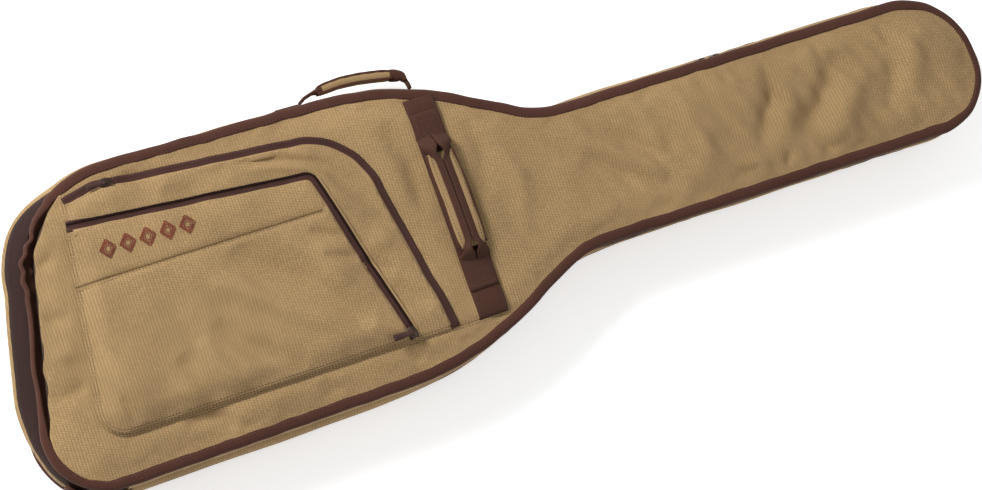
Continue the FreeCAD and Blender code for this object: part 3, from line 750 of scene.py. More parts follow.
def make_front_panel():
    edge = 7.0 + end_share(RING) * (6.0 + 1.3 * waves(*RING.T, 12, 44))
    shape = slab(inset(RING, edge)[::2], 3.6, face, level(Z_LID_LOW + 1.5))
    obj = piece("front_panel", shape, TAN, "lid", ("front_panel_outer", "front_panel_foam"))
    xs = np.arange(-524.0, -60.0, 4.0)
    rows = [over(np.column_stack([xs, np.full(len(xs), SEAM_Y + offset)]), face, 0.2)
            for offset in (-1.8, 1.8)]
    sewn("front_seam_stitches", rows, TAN_THREAD, "lid")


def quilt(points, pitch=46.0, tall=2.2):
    """Height of a diamond-quilted lining."""
    u = (points[:, 0] + points[:, 1]) / pitch * math.pi
    v = (points[:, 0] - points[:, 1]) / pitch * math.pi
    return tall * np.minimum(np.abs(np.sin(u)), np.abs(np.sin(v))) ** 0.5


def make_front_lining():
    loop = inset(RING, 11.5)[::2]
    shape = slab(loop, 5.0, level(Z_LID_LOW + 1.3), lambda p: Z_LID_LOW - quilt(p) + 0.6)
    obj = piece("front_lining", shape, LINING_CLOTH, "lid", ("front_panel_lining",))


def make_front_binding():
    share = end_share(RING)
    x, y = RING.T
    side = [(1.4, 78.6), (2.2, 83), (1.8, 87.5), (0.2, 90.6), (-3, 92.0), (-7, 92.2),
            (-10.4, 91.8), (-11.4, 90.8), (-10.2, 89.4), (-6, 88.6), (-3.2, 85), (-2.6, 78.6)]
    end = [(-0.4, 74.6), (1.0, 76.2), (1.1, 78.4), (0.2, 80.9), (-1.3, 82.8), (-3.0, 83.3),
           (-4.5, 82.0), (-5.4, 76.6), (-8.6, 72.6), (-15.8, 72.8), (-15.4, 71.0), (-3.2, 72.0)]
    profile = mixed(side, end, share)
    tight = 1 - 0.32 * smooth((x - 560) / 50)
    profile[:, 5:10, 0] *= tight[:, None]
    crumple = 2.6 * smooth((y - 40) / 60) * waves(x, y, 35, 20)
    wobble = 0.4 * waves(x, y, 31, 48) + share * (1.5 * waves(x, y, 32, 46) + crumple)
    profile[:, :, 0] += wobble[:, None]
    rise = 0.4 * waves(x, y, 33, 30) + share * 1.5 * waves(x, y, 34, 40)
    profile[:, 3:10, 1] += rise[:, None]
    piece("front_binding_tape", sweep(RING, profile), BINDING_TAPE, "lid", ("front_binding",))
    row = inset(RING, 9.0 * tight - 6.0 * share) + outward(RING, True) * wobble[:, None]
    row = looped(np.column_stack([row, 92.0 + rise - 8.9 * share]))
    sewn("front_binding_stitches", [row], BROWN_THREAD, "lid", "brown_binding", wide=0.8)


def make_zip():
    share = end_share(ZIP_PATH)
    crumple = (share * 1.6 * waves(*ZIP_PATH.T, 41, 42))[:, None]
    front = mixed([(1.2, 64.2), (1.6, 69), (1.6, 74), (1.3, 78.6)],
                  [(-6.0, 64.2), (-4.0, 69), (-1.0, 73), (0.2, 77.5)], share)
    front[:, 1:3, 0] += crumple
    rear = mixed([(3.0, 46.4), (2.6, 51), (1.8, 56), (1.2, 59.8)],
                 [(20.5, 29.0), (15.0, 37), (7.0, 46.5), (-5.5, 59.4)], share)
    rear[:, 1:3, 0] += crumple[::-1] * 0.6
    track = spaced(ZIP_PATH, 2.4)
    normal = outward(track, False)
    tangent = np.column_stack([-normal[:, 1], normal[:, 0]])
    flat = track + normal * (0.9 - 7.0 * end_share(track))[:, None]
    for word, line, body, rise, skip in (
        ("front", front, "lid", 1.0, 0.0),
        ("rear", rear, "bag_base", -1.0, 1.2),
    ):
        # Both main zip tapes take the darkened tape colour, which has painted shade in it.
        piece("zip_tape_" + word, sweep(ZIP_PATH, thick(line, 1.1), closed=False), SHADED_MAIN_TAPE,
              body, ("main_zip_" + word + "_tape",))
        centres = np.column_stack([flat + tangent * skip, np.full(len(flat), Z_PART + rise)])
        piece("zip_coil_" + word, blocks(centres, tangent, normal, (1.5, 2.4, 1.8)), TEETH,
              body, ("main_zip_" + word + "_teeth",), smooth_faces=False)


def make_hinge():
    levels = np.linspace(0, 1, 13)
    line = np.empty((len(HINGE_PATH), len(levels), 2))
    for k, t in enumerate(levels):
        line[:, k, 0] = 3.0 + 1.6 * math.sin(math.pi * t) - 1.2 * t
        line[:, k, 0] += 0.5 * waves(*HINGE_PATH.T, 50, 55)
        line[:, k, 1] = Z_GUSSET_TOP - 1.0 + (Z_LID_LOW - Z_GUSSET_TOP + 2.5) * t
    obj = piece("hinge_fabric", sweep(HINGE_PATH, thick(line, 1.4), closed=False), TAN_SIDE,
                None, ("gusset_hinge_strip", "lid_hinge_strip"))
    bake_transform(obj)


# ---- base -------------------------------------------------------------------------------
def swell(path):
    """How far the padded side bulges out between its seams."""
    x, y = path[:, 0], path[:, 1]
    body = smooth((-50 - x) / 230)
    low_corner = smooth((-50 - y) / 60) * smooth((-540 - x) / 50)
    out = 6.0 + body * np.where(y < 0, 5.5, 3.0) - 6.5 * low_corner
    return out + 0.7 * waves(x, y, 21, 150)


def side_line(path, levels):
    """The padded side's outer line of (out, height), from the back binding up to the zip."""
    line = np.empty((len(path), len(levels), 2))
    bulge = swell(path)
    for k, t in enumerate(levels):
        line[:, k, 0] = 3.2 + (bulge - 3.2) * math.sin(math.pi * t) ** 0.75
        line[:, k, 1] = 9.0 + t * (Z_GUSSET_TOP + 1.2 - 9.0)
    return line


def make_gusset():
    share = end_share(RING)[:, None]
    levels = np.linspace(0, 1, 9)
    line = side_line(RING, levels)
    end_out = 12.0 + 11.0 * np.sin(math.pi * np.minimum(1, levels * 0.8)) ** 0.7
    line[:, :, 0] += (end_out - line[:, :, 0]) * share
    line[:, :, 1] += (9.0 + levels * 21.5 - line[:, :, 1]) * share
    obj = piece("gusset_side", sweep(RING, thick(line, 5.0)), TAN_SIDE, "bag_base",
                ("gusset_outer", "gusset_foam"))
    seam_line = line[:, -1]
    row = RING + outward(RING, True) * (seam_line[:, :1] + 0.2)
    row = looped(np.column_stack([row, seam_line[:, 1] - 2.0]))
    sewn("gusset_stitches", [row], TAN_THREAD, "bag_base")
    heights = np.linspace(Z_FLOOR - 1.0, Z_GUSSET_TOP - 0.5, 6)
    outs = -4.6 - 0.8 * np.sin(math.pi * np.arange(6) / 5)
    inner = np.broadcast_to(np.stack([outs, heights], 1), (len(RING), 6, 2))
    obj = piece("gusset_inner_lining", sweep(RING, thick(inner, 1.2)), LINING_CLOTH, "bag_base",
                ("gusset_lining",))


def make_back_binding():
    x, y = RING.T
    section = [(5.4, 1.2), (7.6, 1.0), (8.9, 3.0), (9.2, 6.5), (8.6, 10.0), (6.6, 11.8),
               (4.2, 11.6), (4.6, 9.0), (6.0, 6.0)]
    profile = mixed(section, section, np.zeros(len(RING)))
    wobble = 0.35 * waves(x, y, 61, 40) + 2.0 * end_share(RING)
    profile[:, :, 0] += (wobble - 2.4 * smooth((x - 40) / 80))[:, None]
    piece("back_binding_tape", sweep(RING, profile), BINDING_TAPE, "bag_base",
          ("back_binding",))


def strap_frame(side):
    """Origin and directions of a shoulder strap on the back."""
    turn = math.radians(180.0 - side * 7.0)
    along = np.array([math.cos(turn), math.sin(turn)])
    return np.array([-48.0, side * 38.0]), along, np.array([-along[1], along[0]])


def back_skin(points):
    """Height of the back's outer skin, with the hollows that the straps lie in."""
    x, y = points.T
    hollow = smooth((np.minimum(np.minimum(x + 46, -14 - x), 74 - np.abs(y)) + 3) / 5)
    for side in (1, -1):
        origin, along, across = strap_frame(side)
        u, v = (points - origin) @ along, (points - origin) @ across
        for u0, u1, half in ((-2, 302, 33), (298, 433, 20), (430, 482, 24)):
            edge = np.minimum(np.minimum(u - u0, u1 - u), half - np.abs(v))
            hollow = np.maximum(hollow, smooth((edge + 3) / 5))
    d, _ = depth(points, EDGE)
    rest = 0.2 + 0.9 * (1 - smooth((d + 4) / 16)) + 0.12 * (1 + waves(x, y, 71, 90))
    return rest + (7.1 - rest) * hollow


def make_back():
    shape = slab(inset(RING, -5.6)[::2], 4.5, level(Z_FLOOR - 1.3), back_skin)
    obj = piece("back_panel", shape, TAN, "bag_base", ("back_panel_outer", "back_panel_foam"))
    inner = inset(RING, 6.0)[::2]
    shape = slab(inner, 5.0, lambda p: Z_FLOOR - 0.8 + quilt(p), level(Z_FLOOR - 1.2))
    obj = piece("back_inner_lining", shape, LINING_CLOTH, "bag_base", ("back_panel_lining",))


# ---- pockets ----------------------------------------------------------------------------
def stretch(corners, loop, zipped):
    """The part of a pocket's outline with the zip, or the part that is sewn down."""
    x, y = loop.T
    centre_x = (corners[0][0] + corners[1][0]) / 2
    on = (y > corners[0][1] + 1.5) & (x > left_edge(corners, y) + 1.5)
    on &= (x > centre_x) | (y > corners[0][1] + 60)
    if not zipped:
        on = ~on
    first = int(np.where(on & ~np.roll(on, 1))[0][0])
    rolled, on = np.roll(loop, -first, 0), np.roll(on, -first)
    return rolled[: int(on.sum())]


def raised(section, ground):
    """Profile of (out, height over the ground) at each point of a path."""
    profile = np.broadcast_to(np.array(section, float), (len(ground), len(section), 2)).copy()
    profile[:, :, 1] += ground[:, None]
    return profile


def zip_band(name, corners, band, flare, height, seed):
    """Zip tape round a pocket's opening, the folded hem beside it and their stitches."""
    sharp = [corners[0], (*corners[1][:2], 0.6), *corners[2:-1], (*corners[-1][:2], 0.6)]
    path = spaced(stretch(sharp, rounded(sharp, 1.5), True), 3.0)
    wave = 0.35 * waves(*path.T, seed, 40)
    ground = height(path)
    half = band / 2
    tape = [(0.6, 0.4), (0.4, 1.5), (-band * 0.25, 1.9), (-half + 0.7, 2.0), (-half, 1.55),
            (-half - 0.7, 2.0), (-band * 0.75, 2.1), (-band + 0.2, 1.9), (-band - 1.0, 0.6)]
    profile = raised(tape, ground)
    along = np.linspace(0, 1, len(path))
    wider = flare * (1 - smooth(along / 0.12) + smooth((along - 0.9) / 0.1))
    profile[:, :, 0] += wave[:, None]
    profile[:, :3, 0] += wider[:, None]
    piece(name + "_zip_tape", sweep(path, profile, closed=False), ZIP_TAPE, "lid",
          (name + "_zip",))
    rows = [np.column_stack([inset(path, -out - wave, False), ground + 2.0])
            for out in (wider - 1.6, 1.6 - band)]
    sewn(name + "_zip_tape_stitches", rows, BROWN_THREAD, "lid", "zip_tape", wide=0.7)
    edge = inset(path, band + 1.2 - wave, False)[2:-2]
    hem = [(2.0, 0.4), (2.2, 2.4), (1.2, 3.3), (-0.6, 3.4), (-3.2, 2.8), (-5.6, 2.0), (-5.6, 0.8)]
    piece(name + "_fold", sweep(edge, raised(hem, ground[2:-2]), closed=False), TAN_FINE, "lid",
          (name + "_hem",))
    return path


def pocket_loop(corners, band):
    """Outline of a pocket's cloth: its zipped edges lie in by the band, the sewn ones stay."""
    points = np.array([c[:2] for c in corners], float)
    ways = np.roll(points, -1, 0) - points
    ways /= np.linalg.norm(ways, axis=1)[:, None]
    inward = np.stack([-ways[:, 1], ways[:, 0]], 1)
    moves = np.full(len(points), band + 1.0)
    moves[0] = moves[-1] = 0.0
    moved = []
    for i, (x, y, radius) in enumerate(corners):
        levels = [inward[k] @ (x, y) + moves[k] for k in (i - 1, i)]
        place = np.linalg.solve(np.array([inward[i - 1], inward[i]]), np.array(levels))
        if moves[i] and moves[i - 1]:
            radius -= band + 1.0
        elif moves[i] or moves[i - 1]:
            radius = 1.0
        moved.append((*place, max(1.0, radius)))
    return rounded(moved, 3.0)


def seam(name, trace, height, thread, offsets=(-1.6, 1.6)):
    """Rows of stitches along a line, laid on a surface of the lid."""
    rows = [over(inset(trace, offset, False), height, 0.25) for offset in offsets]
    sewn(name, rows, thread, "lid", "tan_fabric")


def make_large_pocket():
    zip_band("large_pocket", LARGE, LARGE_BAND, 1.5, face, 81)
    loop = pocket_loop(LARGE, LARGE_BAND)
    shape = slab(loop, 3.2, large_top, lambda p: face(p) + 0.4)
    obj = piece("large_pocket_cloth", shape, TAN, "lid", ("large_pocket_panel",))
    sewn_edge = stretch(LARGE, rounded(LARGE, 2.5), False)
    seam("large_pocket_stitches", inset(sewn_edge, 3.2, False), large_top, TAN_THREAD)


def make_small_pocket():
    path = zip_band("small_pocket", SMALL, SMALL_BAND, 3.5, large_top, 82)
    # Coil along the band's outer edge: a real coil whose near-black matte colour also paints the shaded
    # gap under the fold.
    coil = [(1.6, 0.2), (1.5, 2.6), (0.4, 3.3), (-1.2, 3.1), (-1.9, 1.6)]
    piece("small_pocket_coil", sweep(path, raised(coil, large_top(path)), closed=False), COIL_AND_GAP_SHADE,
          "lid")
    side = path[path[:, 1] < 90]
    fold = [(6.4, -0.4), (4.6, 2.0), (3.0, 3.0), (1.9, 2.7), (1.7, 0.2)]
    piece("small_pocket_outer_fold", sweep(side, raised(fold, large_top(side)), closed=False),
          TAN_FINE, "lid")
    loop = pocket_loop(SMALL, SMALL_BAND)
    for name, part, node in (
        ("small_pocket_cloth", clipped(loop, FOLD_Y - 0.2, False), "small_pocket_panel"),
        ("small_pocket_band", clipped(loop, FOLD_Y + 0.2, True), "small_pocket_top_band"),
    ):
        shape = slab(part, 2.8, small_top, lambda p: large_top(p) + 0.4)
        obj = piece(name, shape, TAN, "lid", (node,))
    xs = np.arange(-540.0, -226.0, 4.0)
    fold = np.column_stack([xs, fold_line(xs) - 1.6])
    seam("small_pocket_fold_stitches", fold, small_top, BROWN_THREAD, offsets=(0.0,))
    sewn_edge = stretch(SMALL, rounded(SMALL, 2.5), False)
    seam("small_pocket_stitches", inset(sewn_edge, 3.0, False), small_top, TAN_THREAD)


def make_ornament():
    """A generic chain of five embroidered lozenges on the small pocket's top band."""
    lozenge = np.array([(-10, 0), (0, -12), (10, 0), (0, 12), (-10, 0)], float)
    rows = [over(spaced(lozenge * scale + (-492.0 + 24.0 * k, 82.0), 1.0), small_top, 0.45)
            for k in range(5) for scale in (1.0, 0.82, 0.64, 0.4)]
    sewn("ornament_embroidery", rows, THREAD, "lid", replaces=("embroidered_ornament",),
         pitch=3.0, long=3.1, wide=1.3, tall=0.9)


# ---- waist webbing and front handle -------------------------------------------------------
def waist_path(y0, y1, lift, step=4.0):
    """Line along the waist webbing, on the panel; it slants a little."""
    ys = np.arange(y0, y1 + 0.1, step)
    return over(np.column_stack([WAIST_X + 1.5 - (ys - 10) / 280 * 5.0, ys]), face, lift)


def box_lines(a, b, side):
    """Lines of a crossed box between two points, as far as side to each side of them."""
    corners = np.array([a - side, a + side, b + side, b - side])
    return [looped(corners), corners[[0, 2]], corners[[1, 3]]]


def make_waist():
    across = (1, 0.018, 0)
    trace = waist_path(-129.0, 147.0, 1.5)
    obj = piece("waist_strap", ribbon(trace, 2 * WAIST_HALF, 2.0, across), WEB, "lid",
                ("waist_webbing",))
    rows = [trace + (side * (WAIST_HALF - 2.5), 0, 1.15) for side in (-1, 1)]
    sewn("waist_strap_stitches", rows, BROWN_THREAD, "lid", "brown_webbing", wide=0.7)
    pads = [waist_path(y0, y1, 3.7) for y0, y1 in ((-94.0, -53.0), (92.0, 131.0))]
    piece("front_handle_sewn_ends",
          merge([ribbon(pad, 2 * WAIST_HALF - 1.0, 2.0, across) for pad in pads]), WEB, "lid",
          ("front_handle_anchors",))
    rows = []
    for pad in pads:
        first, last = pad[[1, -2]] + (0, 0, 1.2)
        rows += box_lines(first, last, np.array([WAIST_HALF - 5.0, 0, 0]))
    sewn("front_handle_box_stitches", rows, BROWN_THREAD, "lid", "brown_webbing",
         pitch=3.4, long=2.6, wide=0.7)


def oval(count, wide, tall, powers):
    """Points round a squarish oval, from its two half sizes and its two exponents."""
    angles = np.linspace(0, 2 * math.pi, count + 1)[:-1]
    c, s = np.cos(angles), np.sin(angles)
    return (np.copysign(np.abs(c) ** powers[0], c) * wide,
            np.copysign(np.abs(s) ** powers[1], s) * tall)


def grip_x(y):
    """Middle of the front handle, which runs a little askew."""
    return WAIST_X + 1.5 - (y - 16) / 280 * 9.0


def grip_bow(y):
    """Rise of the front handle over its chord, which is level beyond its ends."""
    t = np.clip((y - GRIP_Y[0]) / (GRIP_Y[1] - GRIP_Y[0]), 0, 1)
    return 3.0 * np.sin(math.pi * t) - 1.5


def make_front_handle():
    """Padded grip with brown edge strips along it and their stitches."""
    y0, y1 = GRIP_Y
    z_mid, half_z = middle("front_handle_grip", "z"), width("front_handle_grip", "z") / 2
    half = width("front_handle_grip", "x") / 2
    count, around = 41, 24
    rings = []
    for t in np.arange(count) / (count - 1):
        y = y0 + (y1 - y0) * t
        tip = min(1.0, max(0.0, math.sin(math.pi * t)) ** 0.22 + 0.06)
        u, w = oval(around, (half - 1.5) * (0.86 + 0.14 * tip), half_z * 0.9 * tip, (0.55, 0.75))
        dimple = np.where(w > 0, -1.6 * np.exp(-((u / 7.0) ** 2)), 0.0)
        height = z_mid + w + grip_bow(y) + dimple
        rings.append(np.column_stack([grip_x(y) + u, np.full(around, y), height]))
    grip = piece("front_grip", (np.vstack(rings), tube_faces(count, around)), TAN_FINE,
                 "front_handle", ("front_handle_grip",))
    inflate(grip, 2.5, 4.0, 1.0)
    edges, rows = [], []
    ts = np.linspace(0.03, 0.97, 30)
    ys = y0 + (y1 - y0) * ts
    for side in (-1, 1):
        reach = side * (half - 1.9) * (0.9 + 0.1 * np.sin(math.pi * ts))
        line = np.column_stack([grip_x(ys) + reach, ys, z_mid + grip_bow(ys)])
        edges.append(ribbon(line, 3.4, 4.4, across=(1, 0, 0)))
        row = line + (-side * 3.6, 0, 4.6)
        row[:, 0] += 0.5 * waves(row[:, 0], row[:, 1], 91, 14)
        rows.append(row)
    piece("front_grip_edges", merge(edges), BINDING_TAPE, "front_handle")
    sewn("front_grip_stitches", rows, BROWN_THREAD, "front_handle", "brown_binding", wide=0.8)


def make_front_handle_webbing():
    """Two plies: they meet over the grip and spread in a V to the sewn ends."""
    y0, y1 = GRIP_Y
    top = high("front_handle_grip", "z")
    start_z = high("front_handle_anchors", "z") + 1.2
    t = np.linspace(0, 1, 57)
    first, last = low("front_handle_webbing", "y") - 8, high("front_handle_webbing", "y") + 8
    y = first + (last - first) * t
    spread_out = smooth(np.maximum(y0 + 14 - y, y - (y1 - 14)) / 22.0)
    rise = smooth(np.minimum(t, 1 - t) * 9)
    z = start_z + (top + 0.4 + grip_bow(y) - start_z) * rise + 0.35 * spread_out
    opening = 3.2 * np.sin(math.pi * spread_out)
    widths = 8.4 + 10.2 * spread_out - opening
    tilt = 0.2 + 2.6 * spread_out * (1 - spread_out)
    plies = []
    for side in (-1, 1):
        path = np.column_stack([grip_x(y) + side * (0.3 + opening + widths / 2), y, z])
        across = np.column_stack([np.ones(len(t)), np.zeros(len(t)), -side * tilt])
        plies.append(ribbon(path, widths, 2.3, across))
    piece("front_handle_plies", merge(plies), WEB, "front_handle", ("front_handle_webbing",))
    y = np.arange(y0 + 16, y1 - 15, 3.0)
    line = np.column_stack([grip_x(y), y, top + 2.0 + grip_bow(y)])
    rows = [line + (dx, 0, 0) for dx in (-2.2, 2.2)]
    sewn("front_handle_ply_stitches", rows, BROWN_THREAD, "front_handle", "brown_webbing",
         wide=0.7)


# ---- side handle --------------------------------------------------------------------------
HANDLE_ENDS = np.array([(-209.0, 187.4), (-72.0, 165.6)])
HANDLE_CHORD = np.linalg.norm(HANDLE_ENDS[1] - HANDLE_ENDS[0])
HANDLE_ALONG = (HANDLE_ENDS[1] - HANDLE_ENDS[0]) / HANDLE_CHORD
HANDLE_OUT = np.array([-HANDLE_ALONG[1], HANDLE_ALONG[0]])
HANDLE_Z = middle("side_handle_grip", "z")
HANDLE_HALF = width("side_handle_grip", "z") / 2


def arch(t):
    """Distance of the side handle from its chord at a share of the way along."""
    stations = (0.0, 0.05, 0.12, 0.22, 0.38, 0.55, 0.72, 0.86, 0.94, 0.985, 1.0)
    reaches = (1.0, 7.0, 11.5, 14.5, 19.5, 21.5, 21.5, 20.5, 18.5, 9.0, 1.0)
    return np.interp(t, stations, reaches)


def handle_place(t, reach):
    """Place in plan at a share of the way along the side handle and a distance out."""
    t, reach = np.atleast_1d(t)[:, None], np.atleast_1d(reach)[:, None]
    return HANDLE_ENDS[0] + HANDLE_ALONG * HANDLE_CHORD * t + HANDLE_OUT * reach


def handle_tube(first, last, count, half_width, half_height):
    """Oval tube along the side handle; its half sizes are functions of the share along."""
    rings = []
    for t in np.linspace(first, last, count):
        slope = np.clip((arch(t + 0.01) - arch(t - 0.01)) / (0.02 * HANDLE_CHORD), -0.9, 0.9)
        normal = HANDLE_OUT - HANDLE_ALONG * slope
        normal /= np.linalg.norm(normal)
        u, w = oval(20, half_height(t), half_width(t), (0.7, 0.6))
        flat = handle_place(t, arch(t)) + normal * u[:, None]
        rings.append(np.column_stack([flat, HANDLE_Z + w]))
    return np.vstack(rings), tube_faces(count, 20)


def tip(t):
    """Thickness of the side grip, which narrows to its ends."""
    return min(1.0, math.sin(math.pi * min(1, max(0, (t - 0.14) / 0.74))) ** 0.4 + 0.3)


def make_side_handle():
    """Arched padded grip on the gusset, with its webbing loops and sewn ends."""
    shape = handle_tube(0.165, 0.86, 36, lambda t: (HANDLE_HALF - 0.6) * (0.8 + 0.2 * tip(t)),
                        lambda t: 6.2 * tip(t) + 0.3 * math.sin(t * 55))
    grip = piece("side_grip", shape, TAN_FINE, "side_handle", ("side_handle_grip",))
    inflate(grip, 2.5, 4.0, 0.8)
    edges = []
    ts = np.linspace(0.17, 0.85, 34)
    tips = np.array([tip(t) for t in ts])
    for off, lift in ((5.9, 3.2), (-4.6, 1.0)):
        for z in (HANDLE_Z + HANDLE_HALF - lift, HANDLE_Z - HANDLE_HALF + lift):
            line = np.column_stack([handle_place(ts, arch(ts) + off * tips),
                                    z + 0.4 * np.sin(ts * 60)])
            edges.append(ribbon(line, 2.6, 3.4, across=(*HANDLE_OUT, 0)))
    piece("side_grip_edges", merge(edges), BINDING_TAPE, "side_handle")
    loops = [handle_tube(s0, s1, 14, lambda t: HANDLE_HALF - 1.6, lambda t: 2.2)
             for s0, s1 in ((0.0, 0.2), (0.84, 1.0))]
    wraps = [handle_tube(s0, s1, 12, lambda t: HANDLE_HALF * 0.9, reach)
             for s0, s1, reach in ((0.12, 0.21, lambda t: 2.2 + 34 * (t - 0.12)),
                                   (0.83, 0.972, lambda t: 7.6 * (1 - ((t - 0.86) / 0.116) ** 2) ** 0.5))]
    piece("side_handle_loops", merge(loops + wraps), WEB, "side_handle",
          ("side_handle_webbing",))
    pads = []
    for x0, x1 in ((-243.0, -211.0), (-69.5, -39.0)):
        path = RING[(RING[:, 1] > 0) & (RING[:, 0] > x0) & (RING[:, 0] < x1)]
        line = side_line(path, np.linspace(0.16, 0.78, 6))
        line[:, :, 0] += 2.2
        pads.append(sweep(path, thick(line, 2.0), closed=False))
    piece("side_handle_sewn_ends", merge(pads), WEB, "bag_base", ("side_handle_anchors",))


# ---- inside ---------------------------------------------------------------------------------
def strip(x, y, radius):
    """Rounded rectangle as a closed line."""
    corners = [(x[0], y[0], radius), (x[1], y[0], radius), (x[1], y[1], radius), (x[0], y[1], radius)]
    return rounded(corners, 2.0)


def make_bumper():
    """Crowned pad inside the bottom end, cut to the bag's wall."""
    half = high("end_bumper", "y") - 1
    loop = strip((low("end_bumper", "x") + 1, high("end_bumper", "x") - 1), (-half, half), 18)
    inside, places = depth(loop, inset(RING, 9.5))
    loop = spaced(np.where(inside[:, None] < 0, places, loop), 2.0, closed=True)
    z_low, z_high = Z_FLOOR + 2.4, high("end_bumper", "z") + 1
    crown, round_off = 5.0, 12.0

    def top(p):
        d, _ = depth(p, loop)
        rolled = (z_high - z_low) * 0.28 * (1 - smooth(d / round_off))
        crowned = z_high - crown + crown * smooth(d / (round_off * 2.2))
        return crowned - rolled + 0.25 * waves(*p.T, 101, 24)

    def under(p):
        return z_low + (z_high - z_low) * 0.3 * (1 - smooth(depth(p, loop)[0] / round_off))

    obj = piece("bottom_bumper", slab(loop, 4.0, top, under), PLUSH, "bag_base",
                ("end_bumper",))
    inflate(obj, 5.0, 4.0, 4.0)


def make_neck_rest():
    """Pad with a groove for the neck, near the neck end."""
    half = high("neck_cradle", "y") - 1
    loop = strip((low("neck_cradle", "x") + 1, high("neck_cradle", "x") - 1), (-half, half), 12)
    z_high = high("neck_cradle", "z")

    def top(p):
        groove = 13.0 * np.exp(-((np.abs(p[:, 1]) / 25.0) ** 4))
        return z_high - 4 + 4 * smooth(depth(p, loop)[0] / 16) - groove

    obj = piece("neck_rest", slab(loop, 3.5, top, level(Z_FLOOR + 2.2)), PLUSH, "bag_base",
                ("neck_cradle",))
    inflate(obj, 4.0, 4.0, 2.0)


def make_neck_strap():
    """Hook-and-loop strap in two layers over the neck rest."""
    x, wide = middle("neck_strap_base", "x"), width("neck_strap_base", "x") - 1
    for name, node, body, y0, y1, lift, wave, length in (
        ("neck_strap_lower", "neck_strap_base", "bag_base", -3.0, 50.0, 0.7, 0.4, 9),
        ("neck_strap_upper", "neck_strap_flap", "neck_strap_flap", -33.0, 4.0, 0.9, 0.3, 7),
    ):
        ys = np.arange(y0, y1, 3.0)
        heights = low(node, "z") + lift + wave * np.sin(ys / length)
        line = np.column_stack([np.full(len(ys), x), ys, heights])
        piece(name, ribbon(line, wide, 1.2, across=(1, 0, 0)), HOOK, body, (node,))


def make_end_patch():
    """Rolled patch over the end of the main zip, at the low corner."""
    path = RING[(RING[:, 1] < -140) & (RING[:, 0] > -612) & (RING[:, 0] < -543)]
    share = end_share(path)
    out = 10.0 + 2.5 * np.sin(math.pi * np.linspace(0, 1, len(path))) ** 0.5 + 6.0 * share
    line = np.empty((len(path), 7, 2))
    for k, s in enumerate(np.linspace(0, 1, 7)):
        line[:, k, 0] = out - 4.0 * (1 - math.sin(math.pi * s) ** 0.6) - 5.0 * s * share
        line[:, k, 1] = 20.0 + s * 38.0
    piece("zip_end_cover", sweep(path, thick(line, 1.6), closed=False), BINDING_TAPE,
          "bag_base", ("zip_end_patch",))


# ---- shoulder straps ------------------------------------------------------------------------
def on_strap(shape, side):
    """A shape in a strap's own coordinates, placed on the back."""
    verts, faces = shape
    origin, along, across = strap_frame(side)
    verts = np.asarray(verts, float)
    flat = origin + verts[:, :1] * along + verts[:, 1:2] * across
    return np.column_stack([flat, verts[:, 2]]), faces


def strap_line(u0, u1, heights):
    """A line along a strap's middle."""
    count = len(heights)
    return np.column_stack([np.linspace(u0, u1, count), np.zeros(count), heights])


def make_shoulder_strap(side, word):
    loop = strip((2, 298), (-29, 29), 24)

    def under(p):
        channels = 0.9 * np.exp(-(((p[:, 0] % 42.0) - 21.0) / 2.4) ** 2)
        rim = smooth(depth(p, loop)[0] / 9)
        return 2.6 - 2.1 * rim + channels * rim

    def place(name, shape, material, replaces=(), slot=None):
        return piece(name + "_" + word, on_strap(shape, side), material, "bag_base", replaces, slot)

    obj = place("strap_pad", slab(loop, 3.0, level(6.5), under), TAN, ("shoulder_pad_" + word,))
    rim_profile = np.array([[(0.4, 6.6), (1.3, 5.6), (1.4, 3.4), (0.5, 2.2), (-2.6, 1.9),
                             (-2.8, 2.9), (-0.4, 3.6), (-0.6, 6.4)]])
    place("strap_pad_binding", sweep(loop, rim_profile), BINDING_TAPE)
    rows = [np.column_stack([np.full(14, u), np.linspace(-24, 24, 14), np.full(14, 1.2)])
            for u in np.arange(21.0, 290.0, 42.0)]
    place("strap_pad_stitches", merge([stitches(row, wide=0.8) for row in rows]), TAN_THREAD)
    line = strap_line(286.0, 452.0, 3.8 + 0.35 * np.sin(np.linspace(286.0, 452.0, 40) / 17))
    place("strap_webbing", ribbon(line, 25.0, 1.9, across=(0, 1, 0)), WEB,
          ("shoulder_webbing_" + word,))
    line = strap_line(441.0, 479.0, np.full(12, 1.7))
    place("strap_end", ribbon(line, 43.0, 1.8, across=(0, 1, 0)), WEB, ("strap_anchor_" + word,))
    first, last = np.array([[444.0, 0, 0.7], [476.0, 0, 0.7]])
    rows = box_lines(first, last, np.array([0, 17.0, 0]))
    place("strap_end_stitches", merge([stitches(row, pitch=3.4, long=2.6) for row in rows]),
          BROWN_THREAD, slot="brown_webbing")


def make_top_patch():
    loop = strip((-43.0, -17.0), (-71.0, 71.0), 4)
    shape = slab(loop, 3.0, level(6.4), lambda p: 1.8 - smooth(depth(p, loop)[0] / 5))
    piece("strap_patch", shape, TAN, "bag_base", ("strap_top_patch",))
    line = inset(loop, 3.0)
    row = looped(np.column_stack([line, np.full(len(line), 0.8)]))
    sewn("strap_patch_stitches", [row], TAN_THREAD, "bag_base")


# ---- zip sliders, pulls and strap locks ---------------------------------------------------
def mirrored(corners):
    """An outline's corners (u, v, radius) on one side, with those on the other side."""
    return [(u, -v, radius) for u, v, radius in corners] + corners[::-1]


def cast_plate(corners, base, rise):
    """Cast plate with a domed top over an outline, from base upward."""
    loop = rounded(mirrored(corners), 0.8)
    top = lambda p: base + rise * (0.55 + 0.45 * smooth(depth(p, loop)[0] / 2.2))
    return slab(loop, 0.8, top, level(base))


def turned(shape, origin, along, out=(0, 0, 1)):
    """A shape in (along, side, out), placed at an origin with these directions."""
    verts, faces = shape
    axes = np.array([along, np.cross(out, along), out], float)
    return np.asarray(origin) + np.asarray(verts, float) @ axes, faces


